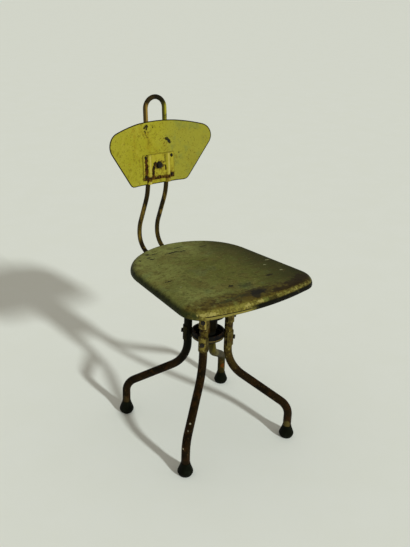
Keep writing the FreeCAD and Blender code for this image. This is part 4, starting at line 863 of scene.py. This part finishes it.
def back_panel():
    """The back's sheet with both wings bent forward and a rounded rim."""
    outline = rounded_outline(PANEL_OUTLINE, 4.0)
    place = back_matrix()

    def ring(share, inset, depth):
        points = []
        for point, normal in outline:
            flat = PANEL_CENTRE + (point - normal * inset - PANEL_CENTRE) * share
            behind, turn = panel_depth(flat.x)
            offset = Vector((math.sin(turn), math.cos(turn), 0)) * depth
            points.append(place @ (Vector((flat.x, PANEL_FRONT + behind, flat.y)) + offset))
        return points

    def middle(depth):
        return place @ Vector((PANEL_CENTRE.x, PANEL_FRONT + depth, PANEL_CENTRE.y))

    shares = (0.06, 0.18, 0.3, 0.42, 0.54, 0.66, 0.78, 0.88, 0.95)
    rings = [(ring(share, PANEL_FLAT_INSET, 0.0), 0.0) for share in shares]
    rings += [(ring(1.0, inset, depth), mark) for inset, depth, mark in PANEL_RIM]
    rings += [(ring(share, PANEL_FLAT_INSET, PANEL_SHEET), 0.0) for share in reversed(shares)]
    shell = Shell()
    shell.skin(*zip(*rings), start=middle(0.0), end=middle(PANEL_SHEET))
    shell.piece("back_sheet", "backrest", ["back_panel"], "back_mustard", "rim", 60.0)


def leg_bolts(level):
    """Hexagon bolts with turned heads and round washer faces, and the nuts inside the dish."""
    bolts = Shell()
    nuts = Shell()
    face = HUB_CIRCLE + LEG_RADIUS + SADDLE_SHEET
    shank = turned([(2.2, 0.0), (LEG_BOLT_RADIUS, 0.8), (LEG_BOLT_RADIUS, face - LEG_BOLT_TIP)])
    nut = hexagon_rings(LEG_NUT_FLATS, 0.0, LEG_NUT_HEIGHT, True, True)
    for leg in range(LEG_COUNT):
        azimuth, height = LEG_AZIMUTH + 360.0 / LEG_COUNT * leg, LEG_BOLT_HEIGHTS[level]
        at = radial(azimuth, height, face)
        bolts.solid(hexagon_rings(LEG_BOLT_FLATS, WASHER_FACE, LEG_BOLT_HEAD), at)
        bolts.solid(turned([(WASHER_FACE_RADIUS, 0.0), (WASHER_FACE_RADIUS, WASHER_FACE + 0.1)]), at)
        bolts.solid(shank, radial(azimuth, height, LEG_BOLT_TIP))
        nuts.solid(nut, radial(azimuth, height, LEG_NUT_FACE))
    bolts.piece(f"leg_bolt_set_{level}", "base", [f"leg_bolts_{level}"], "fastener_dark")
    nuts.piece(f"leg_nut_set_{level}", "base", [f"leg_nuts_{level}"], "fastener_dark")


def flange_fasteners():
    """The four bolts of the seat's flange, their heads below and their nuts on the carrier."""
    bolts = Shell()
    nuts = Shell()
    shank = turned([(BOLT_RADIUS, FLANGE_BASE), (BOLT_RADIUS, FLANGE_BOLT_END - BOLT_TIP),
                    (BOLT_TIP_RADIUS, FLANGE_BOLT_END)])
    for turn in range(FLANGE_BOLTS):
        angle = math.tau * turn / FLANGE_BOLTS
        x, y = FLANGE_CIRCLE * math.cos(angle), FLANGE_CIRCLE * math.sin(angle) + SWIVEL_Y
        at = Matrix.Translation((x, y, 0))
        bolts.solid(hexagon_rings(BOLT_FLATS, FLANGE_BASE - FLANGE_HEAD, FLANGE_BASE, True, False), at)
        bolts.solid(shank, at)
        nuts.solid(hexagon_rings(BOLT_FLATS, CARRIER_TOP, CARRIER_TOP + FLANGE_NUT_HEIGHT, True, True), at)
    bolts.piece("flange_bolt_set", "seat", ["flange_bolts"], "fastener_dark")
    nuts.piece("flange_nut_set", "seat", ["flange_nuts"], "fastener_dark")


def spindle():
    """The screw with one continuous 6 mm thread, a plain journal on top and a chamfered lower end."""
    steps = 48
    angles = [math.tau * i / steps for i in range(steps)]
    rings, marks = [], []

    def add(radii, height, mark):
        rings.append([(r * math.cos(a), r * math.sin(a) + SWIVEL_Y, height) for r, a in zip(radii, angles)])
        marks.append(mark)

    def plain(radius, height):
        add([radius] * steps, height, [0.0] * steps)

    plain(SPINDLE_RADIUS - SPINDLE_CHAMFER, SPINDLE_BASE)
    plain(SPINDLE_RADIUS, SPINDLE_BASE + SPINDLE_CHAMFER)
    plain(SPINDLE_RADIUS, THREAD_START)
    height = THREAD_START
    while height < THREAD_END:
        height += THREAD_STEP
        fade = smooth((height - THREAD_START) / THREAD_FADE) * smooth((THREAD_END - height) / THREAD_FADE)
        depths = []
        for i in range(steps):
            turn = ((height - THREAD_START) / THREAD_PITCH - i / steps) % 1.0
            from_root = min(turn, 1.0 - turn)
            depths.append(smooth((0.33 - from_root) / 0.13) * fade)
        add([SPINDLE_RADIUS - THREAD_DEPTH * depth for depth in depths], height, depths)
    plain(SPINDLE_RADIUS, SHOULDER - 2.6)
    plain(SPINDLE_RADIUS, SHOULDER)
    plain(JOURNAL_RADIUS, SHOULDER)
    plain(JOURNAL_RADIUS, JOURNAL_TOP - SPINDLE_CHAMFER)
    plain(JOURNAL_RADIUS - SPINDLE_CHAMFER, JOURNAL_TOP)
    shell = Shell()
    shell.skin(rings, marks, start=(0, SWIVEL_Y, SPINDLE_BASE), end=(0, SWIVEL_Y, JOURNAL_TOP))
    shell.piece("spindle_thread", "spindle", ["spindle_screw"], "screw_steel", "groove", 50.0)


def back_fasteners():
    """Domed rivets, and the hexagon bolt on its dished washer."""
    place = back_matrix()

    def across_back(y, x=0.0, up=BOLT_UP):
        """Local z points to the chair's front from a point of the leaning back."""
        return place @ Matrix.Translation((x, y, up)) @ Matrix.Rotation(math.radians(90.0), 4, "X")

    rivets = Shell()
    rear = PANEL_FRONT + PANEL_SHEET
    dome = turned([(RIVET_RADIUS * math.cos(math.radians(angle)), RIVET_RISE * math.sin(math.radians(angle)))
                   for angle in range(0, 81, 10)], 24)
    shank = turned([(RIVET_SHANK_RADIUS, 0.0), (RIVET_SHANK_RADIUS, rear - PLATE_FRONT)], 24)
    for x in (-RIVET_X, RIVET_X):
        for up in (-RIVET_UP, RIVET_UP):
            behind = across_back(rear, x, up)
            for at in (across_back(PLATE_FRONT, x, up), behind @ Matrix.Rotation(math.pi, 4, "X")):
                rivets.skin(dome, start=(0, 0, 0), end=(0, 0, RIVET_RISE), at=at)
            rivets.solid(shank, behind)
    rivets.piece("back_rivet_set", "backrest", ["back_rivets"], "fastener_dark")
    washer = Shell()
    washer.skin(turned(BACK_WASHER), at=across_back(PLATE_FRONT))
    washer.piece("back_washer_turned", "backrest", ["back_bolt_washer"], "fastener_dark")
    bolt = Shell()
    at = across_back(PLATE_FRONT - BACK_WASHER_RISE)
    bolt.solid(hexagon_rings(BOLT_FLATS, 0.0, BACK_BOLT_HEAD), at)
    bolt.solid(turned([(BOLT_RADIUS, 0.0), (BOLT_RADIUS, BOLT_TIP - BACK_BOLT_LENGTH),
                       (BOLT_TIP_RADIUS, -BACK_BOLT_LENGTH)]), at)
    bolt.piece("back_bolt_turned", "backrest", ["back_bolt"], "fastener_dark")


# Stage

def floor_finish():
    """Pale paper, very slightly uneven."""
    f = Finish("floor_pale", (228, 230, 222), 0.9, specular=0.1)
    f.layer(f.patches(6.0, 0.3, 0.7, 3.0), (227, 229, 220))
    return f.done()


def backdrop_finish():
    """The colour that the lit floor has, so that the paper runs on behind the chair."""
    material = bpy.data.materials.new("backdrop_pale")
    material.use_nodes = True
    shader = material.node_tree.nodes["Principled BSDF"]
    shader.inputs["Base Color"].default_value = (0.0, 0.0, 0.0, 1.0)
    shader.inputs["Specular IOR Level"].default_value = 0.0
    shader.inputs["Emission Color"].default_value = linear((209, 212, 200))
    shader.inputs["Emission Strength"].default_value = 1.0
    return material


def stage_piece(name, points, faces, material):
    mesh = bpy.data.meshes.new(name)
    mesh.from_pydata(points, [], faces)
    mesh.materials.append(material)
    piece = bpy.data.objects.new(name, mesh)
    bpy.context.scene.collection.objects.link(piece)
    return piece


def make_floor():
    """A wide pale floor, and far off a plain backdrop that only the camera sees."""
    size = 80.0
    corners = [(-size, -size, 0), (size, -size, 0), (size, size, 0), (-size, size, 0)]
    stage_piece("floor", corners, [(0, 1, 2, 3)], floor_finish())
    steps, far, low, tall = 96, 30.0, -0.5, 30.0
    angles = [math.tau * i / steps for i in range(steps)]
    ring = [(far * math.cos(angle), far * math.sin(angle)) for angle in angles]
    backdrop = stage_piece("backdrop", [(x, y, z) for z in (low, tall) for x, y in ring],
                           [(i, (i + 1) % steps, steps + (i + 1) % steps, steps + i) for i in range(steps)],
                           backdrop_finish())
    backdrop.visible_diffuse = backdrop.visible_glossy = backdrop.visible_shadow = False
    backdrop.visible_transmission = backdrop.visible_volume_scatter = False


def make_light():
    """One soft, low light from straight in front, its weaker glint, and pale light from all round."""
    elevation = math.radians(22.0)
    travels = Vector((-0.03, math.cos(elevation), -math.sin(elevation)))
    for name, energy, glints in (("key", 3.4, False), ("glint", 0.3, True)):
        data = bpy.data.lights.new(name, "SUN")
        data.energy = energy
        data.angle = math.radians(4.0)
        data.color = (0.94, 1.0, 1.0)
        light = bpy.data.objects.new(name, data)
        light.visible_glossy = glints
        light.rotation_euler = travels.to_track_quat("-Z", "Y").to_euler()
        bpy.context.scene.collection.objects.link(light)
    world = bpy.data.worlds.new("studio")
    world.use_nodes = True
    world.node_tree.nodes["Background"].inputs["Color"].default_value = (1.0, 0.96, 0.87, 1.0)
    world.node_tree.nodes["Background"].inputs["Strength"].default_value = 0.43
    bpy.context.scene.world = world
    bpy.context.scene.view_settings.view_transform = "Standard"


def make_camera():
    """The photograph's camera: where it looks, how it is turned and how far off it stands."""
    azimuth, elevation, roll = math.radians(38.12), math.radians(23.107), math.radians(1.984)
    distance, aside, height = 1.7864, -0.013, 0.4391
    forward = Vector((math.sin(azimuth) * math.cos(elevation), math.cos(azimuth) * math.cos(elevation),
                      -math.sin(elevation)))
    level = Vector((math.cos(azimuth), -math.sin(azimuth), 0.0))
    upward = level.cross(forward)
    right = level * math.cos(roll) + upward * math.sin(roll)
    upward = upward * math.cos(roll) - level * math.sin(roll)
    target = level * aside + Vector((0, SWIVEL_Y * MM, height))
    matrix = Matrix((right, upward, -forward)).transposed().to_4x4()
    matrix.translation = target - forward * distance
    data = bpy.data.cameras.new("camera")
    data.lens = 47.595
    data.sensor_width = 36.0
    camera = bpy.data.objects.new("camera", data)
    camera.matrix_world = matrix
    bpy.context.scene.collection.objects.link(camera)
    bpy.context.scene.camera = camera


def paint_nodes():
    """Give every CAD node the finish of its slot."""
    slots = {start: slot for slot, starts in NODE_SLOTS.items() for start in starts}
    for name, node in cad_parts.items():
        start = max((start for start in slots if name.startswith(start)), key=len)
        node.data.materials.clear()
        node.data.materials.append(finishes[slots[start]])


finishes = {
    "tube_brown": tube_finish(), "saddle_olive": saddle_finish(), "hub_olive": hub_finish(),
    "column_brown": column_finish(), "fastener_dark": fastener_finish(), "rubber_black": rubber_finish(),
    "screw_steel": screw_finish(), "nut_bronze": bronze_finish(), "seat_green": seat_finish(),
    "under_grey": under_finish(), "back_mustard": back_finish(), "plate_mustard": plate_finish(),
    "rod_brown": rod_finish()}
paint_nodes()
seat_pan()
back_panel()
for level in LEG_BOLT_HEIGHTS:
    leg_bolts(level)
flange_fasteners()
spindle()
back_fasteners()
make_floor()
make_light()
make_camera()
